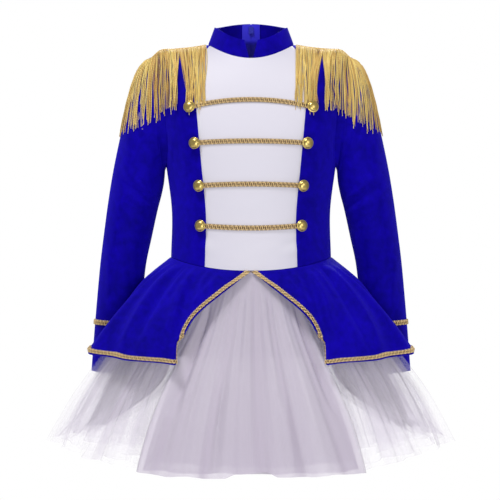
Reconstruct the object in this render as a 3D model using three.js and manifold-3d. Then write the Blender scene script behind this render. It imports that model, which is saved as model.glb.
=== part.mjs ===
// A child's ringmaster dress, worn shape with no wearer: velvet bodice, sleeves and peplum,
// white front panel, gold braid, buttons and shoulder fringe, and a gathered tulle skirt.
// Millimetres. +Z is up, the front faces -Y, the wearer's left is +X.
// The origin lies inside the neck opening, level with the base of the neck.
import * as THREE from 'three';
import { mergeVertices } from 'three/addons/utils/BufferGeometryUtils.js';
import Module from 'manifold-3d';

const wasm = await Module();
wasm.setup();

// Cloth and trim sizes.
const VELVET_THICK = 1.5;
const TULLE_THICK = 1.2;
const SEAM_GAP = 0.3;
const BRAID_WIDTH = 8;
const BRAID_THICK = 1.2;
const BUTTON_DIAMETER = 15;
const BUTTON_HEIGHT = 6.5;
const FRINGE_LENGTH = 94;
const FRINGE_HEADING_WIDTH = 7;
const ZIP_SLOT_HALF = 1.0;
const ZIP_TAPE_WIDTH = 11;
const ZIP_TAPE_THICK = 1;
const ZIP_TAPE_GAP = 0.85;
const ZIP_BOTTOM_RING = 5.25;

// The bodice as rings round the body, from the neckline over the shoulders to the waist.
// width: half width at the sides; front, back: depth; side_z, front_z, back_z: heights;
// power: 2 is an ellipse, more is squarer.
const BODY_RINGS = [
  { width: 55, front: 47, back: 42, side_z: 6, front_z: -14, back_z: 14, power: 2.0 },
  { width: 88, front: 60, back: 60, side_z: 0.5, front_z: -38, back_z: -8, power: 2.2 },
  { width: 120, front: 70, back: 74, side_z: -7, front_z: -66, back_z: -38, power: 2.5 },
  { width: 118, front: 80, back: 84, side_z: -78, front_z: -108, back_z: -92, power: 2.6 },
  { width: 108, front: 83, back: 82, side_z: -149, front_z: -152, back_z: -146, power: 2.4 },
  { width: 101, front: 81, back: 74, side_z: -206, front_z: -216, back_z: -208, power: 2.3 },
  { width: 102, front: 79, back: 71, side_z: -264, front_z: -281, back_z: -270, power: 2.3 },
];
const NECK_RING = 0;
const SHOULDER_RING = 2;
const UNDERARM_RING = 4;
const WAIST_RING = 6;

// Half width of the white panel at each ring of the bodice.
const PANEL_RINGS = [
  { half: 53 }, { half: 66 }, { half: 70 }, { half: 66.5 }, { half: 62 }, { half: 56.5 }, { half: 58 },
];

// The armhole reaches this many degrees to the front and to the back of the side.
const ARMHOLE_FRONT = 27;
const ARMHOLE_BACK = 24;
const ARMHOLE_ROUND = 0.9;

// The sleeve as tilted ellipses: outer and inner edge seen from the front, half depth, middle in y.
const SLEEVE_RINGS = [
  { outer_x: 120, outer_z: -7, inner_x: 108, inner_z: -149, half_depth: 45, mid_y: 1 },
  { outer_x: 133.5, outer_z: -13, inner_x: 109.5, inner_z: -153, half_depth: 44.5, mid_y: 1 },
  { outer_x: 146, outer_z: -33, inner_x: 110, inner_z: -158, half_depth: 43, mid_y: 1 },
  { outer_x: 156, outer_z: -63, inner_x: 110.5, inner_z: -164, half_depth: 41.5, mid_y: 1 },
  { outer_x: 165, outer_z: -102, inner_x: 111.5, inner_z: -172, half_depth: 39.5, mid_y: 1 },
  { outer_x: 175, outer_z: -149, inner_x: 114.5, inner_z: -186, half_depth: 37, mid_y: 2 },
  { outer_x: 182, outer_z: -190, inner_x: 119.5, inner_z: -205, half_depth: 34.5, mid_y: 4 },
  { outer_x: 188, outer_z: -233, inner_x: 127, inner_z: -239, half_depth: 32, mid_y: 7 },
  { outer_x: 193, outer_z: -272, inner_x: 134.5, inner_z: -274, half_depth: 29.5, mid_y: 11 },
  { outer_x: 197.5, outer_z: -318, inner_x: 140, inner_z: -321, half_depth: 27.5, mid_y: 15 },
  { outer_x: 201.5, outer_z: -364, inner_x: 147, inner_z: -369, half_depth: 25.5, mid_y: 18 },
  { outer_x: 205, outer_z: -410, inner_x: 153.5, inner_z: -416, half_depth: 24, mid_y: 19 },
];
const CUFF_BRAID_TOP_RING = 9.55;
const CUFF_BRAID_BOTTOM_RING = 9.72;

// The peplum from waist to hem, the same columns as the bodice; valley: how far the arm presses it in.
const PEPLUM_RINGS = [
  { width: 102, front: 79, back: 71, side_z: -264.4, front_z: -281.6, back_z: -270.4, valley: 0 },
  { width: 137, front: 94, back: 93, side_z: -290, front_z: -311, back_z: -302, valley: 6 },
  { width: 168, front: 107, back: 112, side_z: -319, front_z: -341, back_z: -335, valley: 33 },
  { width: 197, front: 118, back: 129, side_z: -350, front_z: -369, back_z: -368, valley: 62 },
  { width: 222, front: 127, back: 143, side_z: -381, front_z: -396, back_z: -400, valley: 84 },
];
// Angle of the peplum's front edge from the centre front at each of its rings.
const PEPLUM_FRONT_EDGE = [{ angle: 0.6 }, { angle: 13.5 }, { angle: 22 }, { angle: 26.5 }, { angle: 24 }];
const PEPLUM_FLUTES = 17;
const PEPLUM_FLUTE_DEPTH = 6;

// The tulle skirt from waist to hem; bulge: how far the full centre front stands out.
const TULLE_RINGS = [
  { width: 99.9, front: 76.9, back: 68.9, side_z: -265.0, front_z: -282.1, back_z: -271.0, valley: 0, bulge: 0 },
  { width: 141, front: 86, back: 88, side_z: -320, front_z: -345, back_z: -334, valley: 28, bulge: 3 },
  { width: 188, front: 99, back: 108, side_z: -373, front_z: -407, back_z: -397, valley: 72, bulge: 10 },
  { width: 230, front: 112, back: 127, side_z: -427, front_z: -469, back_z: -460, valley: 90, bulge: 18 },
  { width: 266, front: 125, back: 144, side_z: -487, front_z: -531, back_z: -523, valley: 34, bulge: 25 },
];
const SKIRT_POWER = 2.2;
const TULLE_FLUTES = 36;
const TULLE_FLUTE_DEPTH = 6.5;
const UNDER_FLUTES = 24;
const UNDER_FLUTE_DEPTH = 3;
const UNDER_START_INSET = 1.8;
const UNDER_INSET = 16;
const UNDER_VALLEY_INSET = 16;
const UNDER_LENGTH = 0.95;
const BULGE_FULL_ANGLE = 25;
const BULGE_END_ANGLE = 30;
const VALLEY_MID_ANGLE = 97;
const VALLEY_HALF_ANGLE = 25;
const VALLEY_FLAT_SHARE = 0.25;
const FRONT_NOTCH_ANGLE = 5;
const FRONT_NOTCH_RISE = 6;

// The stand collar: the neckline ring, lifted, and its top ring.
const COLLAR_BASE = { width: 55, front: 47, back: 42, side_z: 6.4, front_z: -13.6, back_z: 14.4 };
const COLLAR_TOP = { width: 46.5, front: 45, back: 40.5, side_z: 28.5, front_z: 8.5, back_z: 37 };
const COLLAR_NOTCH_BASE = 3.5;
const COLLAR_NOTCH_TOP = 11.5;

// The braid rows across the front: height at the middle and at the ends, half length to the button.
const BRAID_ROWS = [
  { mid_z: -68, end_z: -77, half: 76 },
  { mid_z: -120, end_z: -122, half: 69 },
  { mid_z: -173.5, end_z: -175, half: 63.5 },
  { mid_z: -228, end_z: -225, half: 61.5 },
];

// The zip slider and its pull, on the outside of the collar behind.
const SLIDER = { width: 6, height: 9, thick: 1.8, neck: 1.2, top_z: 33.5 };
const BRIDGE = { width: 1.6, height: 6, window: 2.4, bar: 1.1 };
const PULL = { width: 5, length: 15, thick: 1, eye_width: 3, eye_length: 5, bar: 1 };

const COLOURS = {
  velvet: 0x1708a8, satin: 0xe2dfec, tulle: 0xe9e6ee, gold_braid: 0xc8a06e,
  gold_fringe: 0xc8a050, button: 0xa88632, zip: 0x2a34c8,
};
const FINISH = {
  velvet: { roughness: 0.85, metalness: 0 },
  satin: { roughness: 0.55, metalness: 0 },
  tulle: { roughness: 0.9, metalness: 0 },
  gold_braid: { roughness: 0.45, metalness: 0.6 },
  gold_fringe: { roughness: 0.4, metalness: 0.6 },
  button: { roughness: 0.35, metalness: 0.9 },
  zip: { roughness: 0.6, metalness: 0 },
};

const costume = new THREE.Group();
const radians = THREE.MathUtils.degToRad;

// A smooth value of one column of a table at a row number that need not be whole.
function column(rows, name, at) {
  const last = rows.length - 1;
  const t = Math.min(Math.max(at, 0), last);
  const i = Math.min(Math.floor(t), last - 1);
  const f = t - i;
  const p1 = rows[i][name];
  const p2 = rows[i + 1][name];
  const p0 = i > 0 ? rows[i - 1][name] : 2 * p1 - p2;
  const p3 = i + 2 <= last ? rows[i + 2][name] : 2 * p2 - p1;
  const m1 = (p2 - p0) / 2;
  const m2 = (p3 - p1) / 2;
  const f2 = f * f;
  const f3 = f2 * f;
  return (2 * f3 - 3 * f2 + 1) * p1 + (f3 - 2 * f2 + f) * m1 + (3 * f2 - 2 * f3) * p2 + (f3 - f2) * m2;
}

function smoothStep(from, to, value) {
  return THREE.MathUtils.smoothstep(value, from, to);
}

// A point of a squared ellipse round the body; angle 0 is the centre front, 90 the wearer's left.
function ringPoint(ring, angle, power) {
  const a = radians(angle);
  const s = Math.sin(a);
  const c = Math.cos(a);
  const end = 2 / power;
  const x = ring.width * Math.sign(s) * Math.abs(s) ** end;
  const depth = c >= 0 ? -ring.front : ring.back;
  const y = depth * Math.abs(c) ** end;
  const far = c >= 0 ? ring.front_z : ring.back_z;
  const z = ring.side_z + (far - ring.side_z) * c * c;
  return new THREE.Vector3(x, y, z);
}

function ringAt(rows, t, names) {
  const ring = {};
  for (const name of names) {
    ring[name] = column(rows, name, t);
  }
  return ring;
}
const RING_COLUMNS = ['width', 'front', 'back', 'side_z', 'front_z', 'back_z'];

function bodyPoint(angle, t) {
  const ring = ringAt(BODY_RINGS, t, RING_COLUMNS);
  return ringPoint(ring, angle, column(BODY_RINGS, 'power', t));
}

// Outward normal of a surface at (u, v), where v runs down and u runs from the front to the left.
function outward(surface, u, v, step_u, step_v) {
  const du = surface(u + step_u, v).sub(surface(u - step_u, v));
  const dv = surface(u, v + step_v).sub(surface(u, v - step_v));
  return dv.cross(du).normalize();
}

// A closed mesh from a grid of outer points and a grid of inner points.
// rows run down the wall; a closed wall joins its last column to its first.
function shellGeometry(outer, inner, closed) {
  const rows = outer.length;
  const columns = outer[0].length;
  const positions = [];
  for (const grid of [outer, inner]) {
    for (const row of grid) {
      for (const p of row) {
        positions.push(p.x, p.y, p.z);
      }
    }
  }
  const outerAt = (r, c) => r * columns + (c % columns);
  const innerAt = (r, c) => rows * columns + outerAt(r, c);
  const index = [];
  const quad = (a, b, c, d) => index.push(a, b, c, a, c, d);
  const spans = closed ? columns : columns - 1;
  for (let r = 0; r < rows - 1; r += 1) {
    for (let c = 0; c < spans; c += 1) {
      quad(outerAt(r, c), outerAt(r + 1, c), outerAt(r + 1, c + 1), outerAt(r, c + 1));
      quad(innerAt(r, c), innerAt(r, c + 1), innerAt(r + 1, c + 1), innerAt(r + 1, c));
    }
  }
  for (let c = 0; c < spans; c += 1) {
    quad(outerAt(0, c), outerAt(0, c + 1), innerAt(0, c + 1), innerAt(0, c));
    quad(outerAt(rows - 1, c + 1), outerAt(rows - 1, c), innerAt(rows - 1, c), innerAt(rows - 1, c + 1));
  }
  if (!closed) {
    for (let r = 0; r < rows - 1; r += 1) {
      quad(outerAt(r + 1, 0), outerAt(r, 0), innerAt(r, 0), innerAt(r + 1, 0));
      const last = columns - 1;
      quad(outerAt(r, last), outerAt(r + 1, last), innerAt(r + 1, last), innerAt(r, last));
    }
  }
  return facingOut(positions, index);
}

// A BufferGeometry with its faces turned outwards.
function facingOut(positions, index) {
  let volume = 0;
  const a = new THREE.Vector3();
  const b = new THREE.Vector3();
  const c = new THREE.Vector3();
  for (let i = 0; i < index.length; i += 3) {
    a.fromArray(positions, 3 * index[i]);
    b.fromArray(positions, 3 * index[i + 1]);
    c.fromArray(positions, 3 * index[i + 2]);
    volume += a.dot(b.cross(c));
  }
  if (volume < 0) {
    for (let i = 0; i < index.length; i += 3) {
      [index[i + 1], index[i + 2]] = [index[i + 2], index[i + 1]];
    }
  }
  const geometry = new THREE.BufferGeometry();
  geometry.setAttribute('position', new THREE.Float32BufferAttribute(positions, 3));
  geometry.setIndex(index);
  geometry.computeVertexNormals();
  return geometry;
}

// A wall on a surface: the outer face is moved out by lift, the inner face lies thick below it.
// columnsAt(v) gives the row's u values; mirrored puts it on the wearer's right.
function wallGeometry({ surface, columnsAt, rows, thick, lift = 0, closed = false, mirrored = false,
  step_u = 0.05, step_v = 0.002, inwards = false }) {
  const outer = [];
  const inner = [];
  const side = mirrored ? -1 : 1;
  const turn = inwards ? -1 : 1;
  for (const v of rows) {
    const outerRow = [];
    const innerRow = [];
    for (const u of columnsAt(v)) {
      const base = surface(u, v);
      const normal = outward(surface, u, v, step_u, step_v).multiplyScalar(turn);
      const top = base.clone().addScaledVector(normal, lift);
      const under = base.clone().addScaledVector(normal, lift - thick);
      outerRow.push(new THREE.Vector3(side * top.x, top.y, top.z));
      innerRow.push(new THREE.Vector3(side * under.x, under.y, under.z));
    }
    outer.push(outerRow);
    inner.push(innerRow);
  }
  return shellGeometry(outer, inner, closed);
}

function addPiece(name, geometry, finish) {
  const look = { color: COLOURS[finish], ...FINISH[finish], side: THREE.DoubleSide };
  const mesh = new THREE.Mesh(geometry, new THREE.MeshStandardMaterial(look));
  mesh.name = name;
  costume.add(mesh);
}

function spread(from, to, spans) {
  return Array.from({ length: spans + 1 }, (_, i) => from + ((to - from) * i) / spans);
}

// Rows of the bodice: even above the shoulder and below the underarm, and between them where
// the sleeve's points meet the armhole.
const SLEEVE_SPANS = 16;
const armholeRow = (turn) => 3 - Math.cos(radians(turn));
const armholeRows = spread(0, 180, SLEEVE_SPANS / 2).map(armholeRow);
const seamDegrees = (t) => (SEAM_GAP / 2 / column(BODY_RINGS, 'width', t)) * (180 / Math.PI);

// Degrees between the side and the edge of the armhole at ring t.
function armholeAngle(t, reach) {
  if (t <= SHOULDER_RING || t >= UNDERARM_RING) {
    return 0;
  }
  const across = Math.sqrt(Math.max(0, 1 - (3 - t) ** 2));
  return reach * across ** ARMHOLE_ROUND;
}

// Angle of the seam between the white panel and the side front at ring t.
function panelAngle(t) {
  const half = column(PANEL_RINGS, 'half', t);
  const sine = (half / column(BODY_RINGS, 'width', t)) ** (column(BODY_RINGS, 'power', t) / 2);
  return Math.asin(sine) * (180 / Math.PI);
}

const bodiceRows = [...spread(NECK_RING, SHOULDER_RING, 4), ...armholeRows.slice(1),
  ...spread(UNDERARM_RING, WAIST_RING, 5).slice(1)];

function makeFrontPanel() {
  const columnsAt = (t) => {
    const edge = panelAngle(t) - seamDegrees(t);
    return spread(-edge, edge, 8);
  };
  const wall = { surface: bodyPoint, columnsAt, rows: bodiceRows, thick: VELVET_THICK };
  addPiece('front_panel', wallGeometry(wall), 'satin');
}

function makeSideFront(name, mirrored) {
  const columnsAt = (t) => {
    const inner = panelAngle(t) + seamDegrees(t);
    return spread(inner, 90 - armholeAngle(t, ARMHOLE_FRONT) - seamDegrees(t), 4);
  };
  const wall = { surface: bodyPoint, columnsAt, rows: bodiceRows, thick: VELVET_THICK, mirrored };
  addPiece(name, wallGeometry(wall), 'velvet');
}

function makeBack(name, mirrored) {
  const columnsAt = (t) => {
    const slot = (ZIP_SLOT_HALF / column(BODY_RINGS, 'width', t)) ** (column(BODY_RINGS, 'power', t) / 2);
    const zipEdge = 180 - Math.asin(slot) * (180 / Math.PI);
    return spread(90 + armholeAngle(t, ARMHOLE_BACK) + seamDegrees(t), zipEdge, 7);
  };
  const wall = { surface: bodyPoint, columnsAt, rows: bodiceRows, thick: VELVET_THICK, mirrored };
  addPiece(name, wallGeometry(wall), 'velvet');
}

// The armhole's edge at a turn round it: 0 on the shoulder, 90 in front, 180 under the arm.
function armholePoint(turn) {
  const t = armholeRow(turn);
  const inFront = Math.sin(radians(turn)) >= 0;
  const reach = inFront ? ARMHOLE_FRONT : ARMHOLE_BACK;
  const angle = 90 + (inFront ? -1 : 1) * armholeAngle(t, reach);
  return bodyPoint(angle, t);
}

function sleeveEllipse(turn, r) {
  const names = ['outer_x', 'outer_z', 'inner_x', 'inner_z', 'half_depth', 'mid_y'];
  const ring = ringAt(SLEEVE_RINGS, r, names);
  const a = radians(turn);
  const across = Math.cos(a);
  const x = (ring.outer_x + ring.inner_x) / 2 + ((ring.outer_x - ring.inner_x) / 2) * across;
  const z = (ring.outer_z + ring.inner_z) / 2 + ((ring.outer_z - ring.inner_z) / 2) * across;
  return new THREE.Vector3(x, ring.mid_y - ring.half_depth * Math.sin(a), z);
}

// The sleeve starts on the armhole's edge and becomes an ellipse within its first ring and a half.
function sleevePoint(turn, r) {
  const point = sleeveEllipse(turn, r);
  const fade = Math.max(0, 1 - r / 1.5) ** 2;
  if (fade > 0) {
    const correction = armholePoint(turn).sub(sleeveEllipse(turn, 0));
    point.addScaledVector(correction, fade);
    point.x += SEAM_GAP * 1.4 * fade;
  }
  return point;
}

function makeSleeve(name, mirrored) {
  const turns = spread(0, 360, SLEEVE_SPANS).slice(0, -1);
  const rows = [0, 0.5, 1, 1.7, 2.5, 3.5, 4.7, 6, 7.2, 8.4, 9.6, 11];
  const wall = { surface: sleevePoint, columnsAt: () => turns, rows, thick: VELVET_THICK, closed: true,
    mirrored, inwards: true };
  addPiece(name, wallGeometry(wall), 'velvet');
}

function makeCuffBraid(name, mirrored) {
  const turns = spread(0, 360, SLEEVE_SPANS).slice(0, -1);
  const lift = SEAM_GAP + BRAID_THICK;
  const wall = { surface: sleevePoint, columnsAt: () => turns,
    rows: [CUFF_BRAID_TOP_RING, CUFF_BRAID_BOTTOM_RING], thick: BRAID_THICK, lift, closed: true, mirrored,
    inwards: true };
  addPiece(name, wallGeometry(wall), 'gold_braid');
}

// The collar: v is 0 at the top edge and 1 at the neckline.
function collarPoint(angle, v) {
  const ring = {};
  for (const name of RING_COLUMNS) {
    ring[name] = COLLAR_TOP[name] + (COLLAR_BASE[name] - COLLAR_TOP[name]) * v;
  }
  return ringPoint(ring, angle, 2);
}

function makeCollar(name, mirrored) {
  const columnsAt = (v) => {
    const width = COLLAR_TOP.width + (COLLAR_BASE.width - COLLAR_TOP.width) * v;
    const notch = COLLAR_NOTCH_TOP + (COLLAR_NOTCH_BASE - COLLAR_NOTCH_TOP) * v;
    const frontEdge = Math.asin(notch / width) * (180 / Math.PI);
    const zipEdge = 180 - Math.asin(ZIP_SLOT_HALF / width) * (180 / Math.PI);
    return spread(frontEdge, zipEdge, 12);
  };
  const wall = { surface: collarPoint, columnsAt, rows: spread(0, 1, 2), thick: VELVET_THICK, mirrored };
  addPiece(name, wallGeometry(wall), 'velvet');
}

// How far the arm's valley presses a skirt in, 0 outside it and 1 at its middle.
function valleyShare(angle) {
  const off = Math.abs(Math.abs(angle) - VALLEY_MID_ANGLE) / VALLEY_HALF_ANGLE;
  return 1 - smoothStep(VALLEY_FLAT_SHARE, 1, off);
}

// A skirt's point, moved out by its waves and in by the arm's valley, level with its ring.
function skirtPoint(rows, angle, t, wave) {
  const ring = ringAt(rows, t, RING_COLUMNS);
  const point = ringPoint(ring, angle, SKIRT_POWER);
  const radius = Math.hypot(point.x, point.y);
  const moved = radius + wave - column(rows, 'valley', t) * valleyShare(angle);
  point.x *= moved / radius;
  point.y *= moved / radius;
  return point;
}

// Soft flutes of the peplum; their depth grows towards the hem and every other one is lower.
function peplumPoint(angle, t) {
  const down = Math.max(0, t / (PEPLUM_RINGS.length - 1));
  const depth = PEPLUM_FLUTE_DEPTH * down ** 1.2;
  const main = Math.cos(radians(PEPLUM_FLUTES * (angle - 40)));
  const slow = Math.cos(radians((PEPLUM_FLUTES / 2) * (angle - 10)));
  return skirtPoint(PEPLUM_RINGS, angle, t, depth * (0.75 * main + 0.35 * slow));
}

const peplumFront = (t) => column(PEPLUM_FRONT_EDGE, 'angle', t);
const PEPLUM_BACK_ANGLE = 179.85;

// The same surface with u running 0 to 1 from the front edge to the centre back.
function peplumSpan(u, t) {
  const from = peplumFront(t);
  return peplumPoint(from + (PEPLUM_BACK_ANGLE - from) * u, t);
}

const PEPLUM_SPANS = 34;
const peplumRows = [0, 0.5, 1.2, 2, 3, 4];

function makePeplum(name, mirrored) {
  const wall = { surface: peplumSpan, columnsAt: () => spread(0, 1, PEPLUM_SPANS), rows: peplumRows,
    thick: VELVET_THICK, mirrored, step_u: 0.0005, step_v: 0.01 };
  addPiece(name, wallGeometry(wall), 'velvet');
}

// The surface between the points of a grid, flat from point to point as the panel itself is.
function faceted(surface, columns, rows) {
  const grid = rows.map((v) => columns.map((u) => surface(u, v)));
  const find = (list, value) => {
    let i = list.findIndex((edge, k) => k > 0 && value <= edge) - 1;
    i = i < 0 ? (value <= list[0] ? 0 : list.length - 2) : i;
    return { i, f: (value - list[i]) / (list[i + 1] - list[i]) };
  };
  return (u, v) => {
    const c = find(columns, u);
    const r = find(rows, v);
    const top = grid[r.i][c.i].clone().lerp(grid[r.i][c.i + 1], c.f);
    const low = grid[r.i + 1][c.i].clone().lerp(grid[r.i + 1][c.i + 1], c.f);
    return top.lerp(low, r.f);
  };
}
const peplumFlat = faceted(peplumSpan, spread(0, 1, PEPLUM_SPANS), peplumRows);

// The braid lies this far inside the peplum's edge and turns the front corner.
const PEPLUM_BRAID_MARGIN = 2.5;
const PEPLUM_BRAID_GAP = 0.85;
const PEPLUM_SLANT = 155;
const peplumArc = (t) => 290 + 78 * t;

// s runs 0 to 1 down the front edge and 1 to 2 along the hem; w is 0 to 1 across the braid.
function peplumBraidPlace(s, w) {
  const inset = PEPLUM_BRAID_MARGIN + BRAID_WIDTH * w;
  const hemRow = 4 - (4 * inset) / PEPLUM_SLANT;
  if (s <= 1) {
    const t = 0.05 + (hemRow - 0.05) * s;
    return { u: inset / peplumArc(t), t };
  }
  const from = inset / peplumArc(4);
  return { u: Math.max(from, s - 1), t: hemRow };
}

function makePeplumBraid(name, mirrored) {
  const side = mirrored ? -1 : 1;
  const outer = [];
  const inner = [];
  for (const s of [...spread(0, 1, 7), ...spread(1, 2, PEPLUM_SPANS).slice(1)]) {
    const outerRow = [];
    const innerRow = [];
    for (const w of [0, 1]) {
      const { u, t } = peplumBraidPlace(s, w);
      const normal = outward(peplumSpan, u, t, 0.0005, 0.01);
      const base = peplumFlat(u, t);
      const top = base.clone().addScaledVector(normal, PEPLUM_BRAID_GAP + BRAID_THICK);
      const under = base.clone().addScaledVector(normal, PEPLUM_BRAID_GAP);
      outerRow.push(new THREE.Vector3(side * top.x, top.y, top.z));
      innerRow.push(new THREE.Vector3(side * under.x, under.y, under.z));
    }
    outer.push(outerRow);
    inner.push(innerRow);
  }
  addPiece(name, shellGeometry(outer, inner, false), 'gold_braid');
}

// The outer tulle: gathered waves, a fuller centre front, and a shallow notch in the front hem.
function tullePoint(angle, t) {
  const down = Math.max(0, t / (TULLE_RINGS.length - 1));
  const full = 1 - smoothStep(BULGE_FULL_ANGLE, BULGE_END_ANGLE, Math.abs(angle));
  const bulge = column(TULLE_RINGS, 'bulge', t) * full;
  const calm = 1 - 0.45 * full;
  const wave = TULLE_FLUTE_DEPTH * down * calm * Math.cos(radians(TULLE_FLUTES * angle));
  const point = skirtPoint(TULLE_RINGS, angle, t, wave + bulge);
  const notch = 1 - smoothStep(FRONT_NOTCH_ANGLE * 0.5, FRONT_NOTCH_ANGLE, Math.abs(angle));
  point.z += FRONT_NOTCH_RISE * notch * down ** 4;
  return point;
}

function makeTulle() {
  const columnsAt = () => spread(-180, 180, TULLE_FLUTES * 2).slice(0, -1);
  const wall = { surface: tullePoint, columnsAt, rows: [0, 0.6, 1.2, 1.9, 2.6, 3.3, 4],
    thick: TULLE_THICK, closed: true, step_u: 0.2, step_v: 0.01 };
  addPiece('tulle_outer', wallGeometry(wall), 'tulle');
}

// The under layer follows the outer one further in, with wider waves, and ends above its hem.
function underTullePoint(angle, t) {
  const down = Math.max(0, t / (TULLE_RINGS.length - 1));
  const full = 1 - smoothStep(BULGE_FULL_ANGLE, BULGE_END_ANGLE, Math.abs(angle));
  const bulge = column(TULLE_RINGS, 'bulge', t) * full;
  const wave = UNDER_FLUTE_DEPTH * down * Math.cos(radians(UNDER_FLUTES * angle + 40));
  const inset = UNDER_START_INSET + UNDER_INSET * down ** 0.7 + UNDER_VALLEY_INSET * down * valleyShare(angle);
  return skirtPoint(TULLE_RINGS, angle, t * UNDER_LENGTH, wave + bulge - inset);
}

function makeUnderTulle() {
  const columnsAt = () => spread(-180, 180, UNDER_FLUTES * 2).slice(0, -1);
  const wall = { surface: underTullePoint, columnsAt, rows: [0, 0.9, 1.9, 2.9, 4],
    thick: TULLE_THICK, closed: true, step_u: 0.2, step_v: 0.01 };
  addPiece('tulle_under', wallGeometry(wall), 'tulle');
}

// The angle and ring of the bodice's front where x and z are these.
function placeOnFront(x, z) {
  let angle = 0;
  let t = 3;
  for (let i = 0; i < 40; i += 1) {
    const here = bodyPoint(angle, t);
    const perRing = (bodyPoint(angle, t + 0.01).z - here.z) / 0.01;
    t = Math.min(Math.max(t + (z - here.z) / perRing, 0), WAIST_RING - 0.05);
    const ratio = Math.min(Math.abs(x) / column(BODY_RINGS, 'width', t), 0.999);
    const turned = Math.asin(ratio ** (column(BODY_RINGS, 'power', t) / 2)) * (180 / Math.PI);
    angle = Math.sign(x) * turned;
  }
  return { angle, t };
}

const rowHeight = (row, x) => row.mid_z + (row.end_z - row.mid_z) * (x / row.half) ** 2;

function makeBraidRow(name, row) {
  const lift = 2 * SEAM_GAP + BRAID_THICK;
  const surface = (x, w) => {
    const { angle, t } = placeOnFront(x, rowHeight(row, x) + BRAID_WIDTH * (0.5 - w));
    return bodyPoint(angle, t);
  };
  const wall = { surface, columnsAt: () => spread(-row.half, row.half, 14), rows: [0, 1],
    thick: BRAID_THICK, lift, step_u: 0.5, step_v: 0.05 };
  addPiece(name, wallGeometry(wall), 'gold_braid');
}

// A domed button with a flat back and a short shank, its axis along +Y.
function buttonGeometry() {
  const r = BUTTON_DIAMETER / 2;
  const profile = [
    [0, 0], [1.8, 0], [1.8, 1.6], [r * 0.86, 1.6], [r, 2.6], [r * 0.82, 4.7], [r * 0.45, 6.1],
    [0, BUTTON_HEIGHT],
  ].map(([x, y]) => new THREE.Vector2(x, y));
  const geometry = new THREE.LatheGeometry(profile, 10);
  geometry.deleteAttribute('normal');
  geometry.deleteAttribute('uv');
  const merged = mergeVertices(geometry, 1e-3);
  return facingOut(Array.from(merged.attributes.position.array), solidFaces(merged));
}

// The triangles of a merged mesh without those that have shrunk to a line.
function solidFaces(geometry) {
  const index = Array.from(geometry.index.array);
  const kept = [];
  for (let i = 0; i < index.length; i += 3) {
    const [a, b, c] = [index[i], index[i + 1], index[i + 2]];
    if (a !== b && b !== c && a !== c) {
      kept.push(a, b, c);
    }
  }
  return kept;
}

function makeButton(name, row, side) {
  const { angle, t } = placeOnFront(side * row.half, row.end_z);
  const normal = outward(bodyPoint, angle, t, 0.05, 0.002);
  const seat = bodyPoint(angle, t).addScaledVector(normal, 3 * SEAM_GAP + BRAID_THICK);
  const turn = new THREE.Quaternion().setFromUnitVectors(new THREE.Vector3(0, 1, 0), normal);
  const geometry = buttonGeometry().applyQuaternion(turn).translate(seat.x, seat.y, seat.z);
  addPiece(name, geometry, 'button');
}

// Every outer point of bodice and sleeve that the fringe can lie on, on the wearer's left.
function clothPoints() {
  const points = [];
  for (const t of spread(0, 3.4, 68)) {
    for (const angle of spread(20, 160, 70)) {
      points.push(bodyPoint(angle, t));
    }
  }
  for (const r of spread(0, 5, 60)) {
    for (const turn of spread(0, 357, 119)) {
      points.push(sleevePoint(turn, r));
    }
  }
  return points;
}

// The heading of the fringe: along the shoulder in front, round the sleeve head, and back behind.
// Each place gives a point on the cloth, moved out by the lift, and the cloth's normal there.
function headingPlaces() {
  const place = (surface, u, v, turn) => {
    const normal = outward(surface, u, v, 0.05, 0.002).multiplyScalar(turn);
    return { point: surface(u, v).addScaledVector(normal, HEADING_LIFT), normal };
  };
  const onBody = (angle, t) => place(bodyPoint, angle, t, 1);
  const onSleeve = (turn, r) => place(sleevePoint, turn, r, -1);
  return [
    onBody(77, 0.12), onBody(79, 0.7), onBody(80, 1.3), onBody(80.5, 1.8),
    onSleeve(17, 0.5), onSleeve(11, 1.1), onSleeve(0, 1.35), onSleeve(-11, 1.1), onSleeve(-17, 0.5),
    onBody(99.5, 1.8), onBody(100, 1.3), onBody(101, 0.7), onBody(103, 0.12),
  ];
}

// One lock rolls over the cloth from its root: at each height it stands out as far as the cloth
// there or above it, along its own direction, until its length is used up.
function lockPath(root, direction, cloth, length) {
  const across = new THREE.Vector2(-direction.y, direction.x);
  const near = cloth
    .map((p) => ({ aside: (p.x - root.x) * across.x + (p.y - root.y) * across.y, z: p.z,
      out: (p.x - root.x) * direction.x + (p.y - root.y) * direction.y }))
    .filter((p) => Math.abs(p.aside) < LOCK_REACH);
  const fine = [root.clone()];
  let out = 0;
  let used = 0;
  while (used < length) {
    const last = fine[fine.length - 1];
    const z = last.z - LOCK_STEP;
    for (const p of near) {
      if (Math.abs(p.z - z) < LOCK_REACH) {
        out = Math.max(out, p.out + LOCK_STANDOFF);
      }
    }
    const next = new THREE.Vector3(root.x + direction.x * out, root.y + direction.y * out, z);
    used += next.distanceTo(last);
    fine.push(next);
  }
  const curve = new THREE.CatmullRomCurve3(fine);
  return [0, 0.12, 0.3, 0.55, 1].map((share) => curve.getPointAt(share));
}

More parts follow.
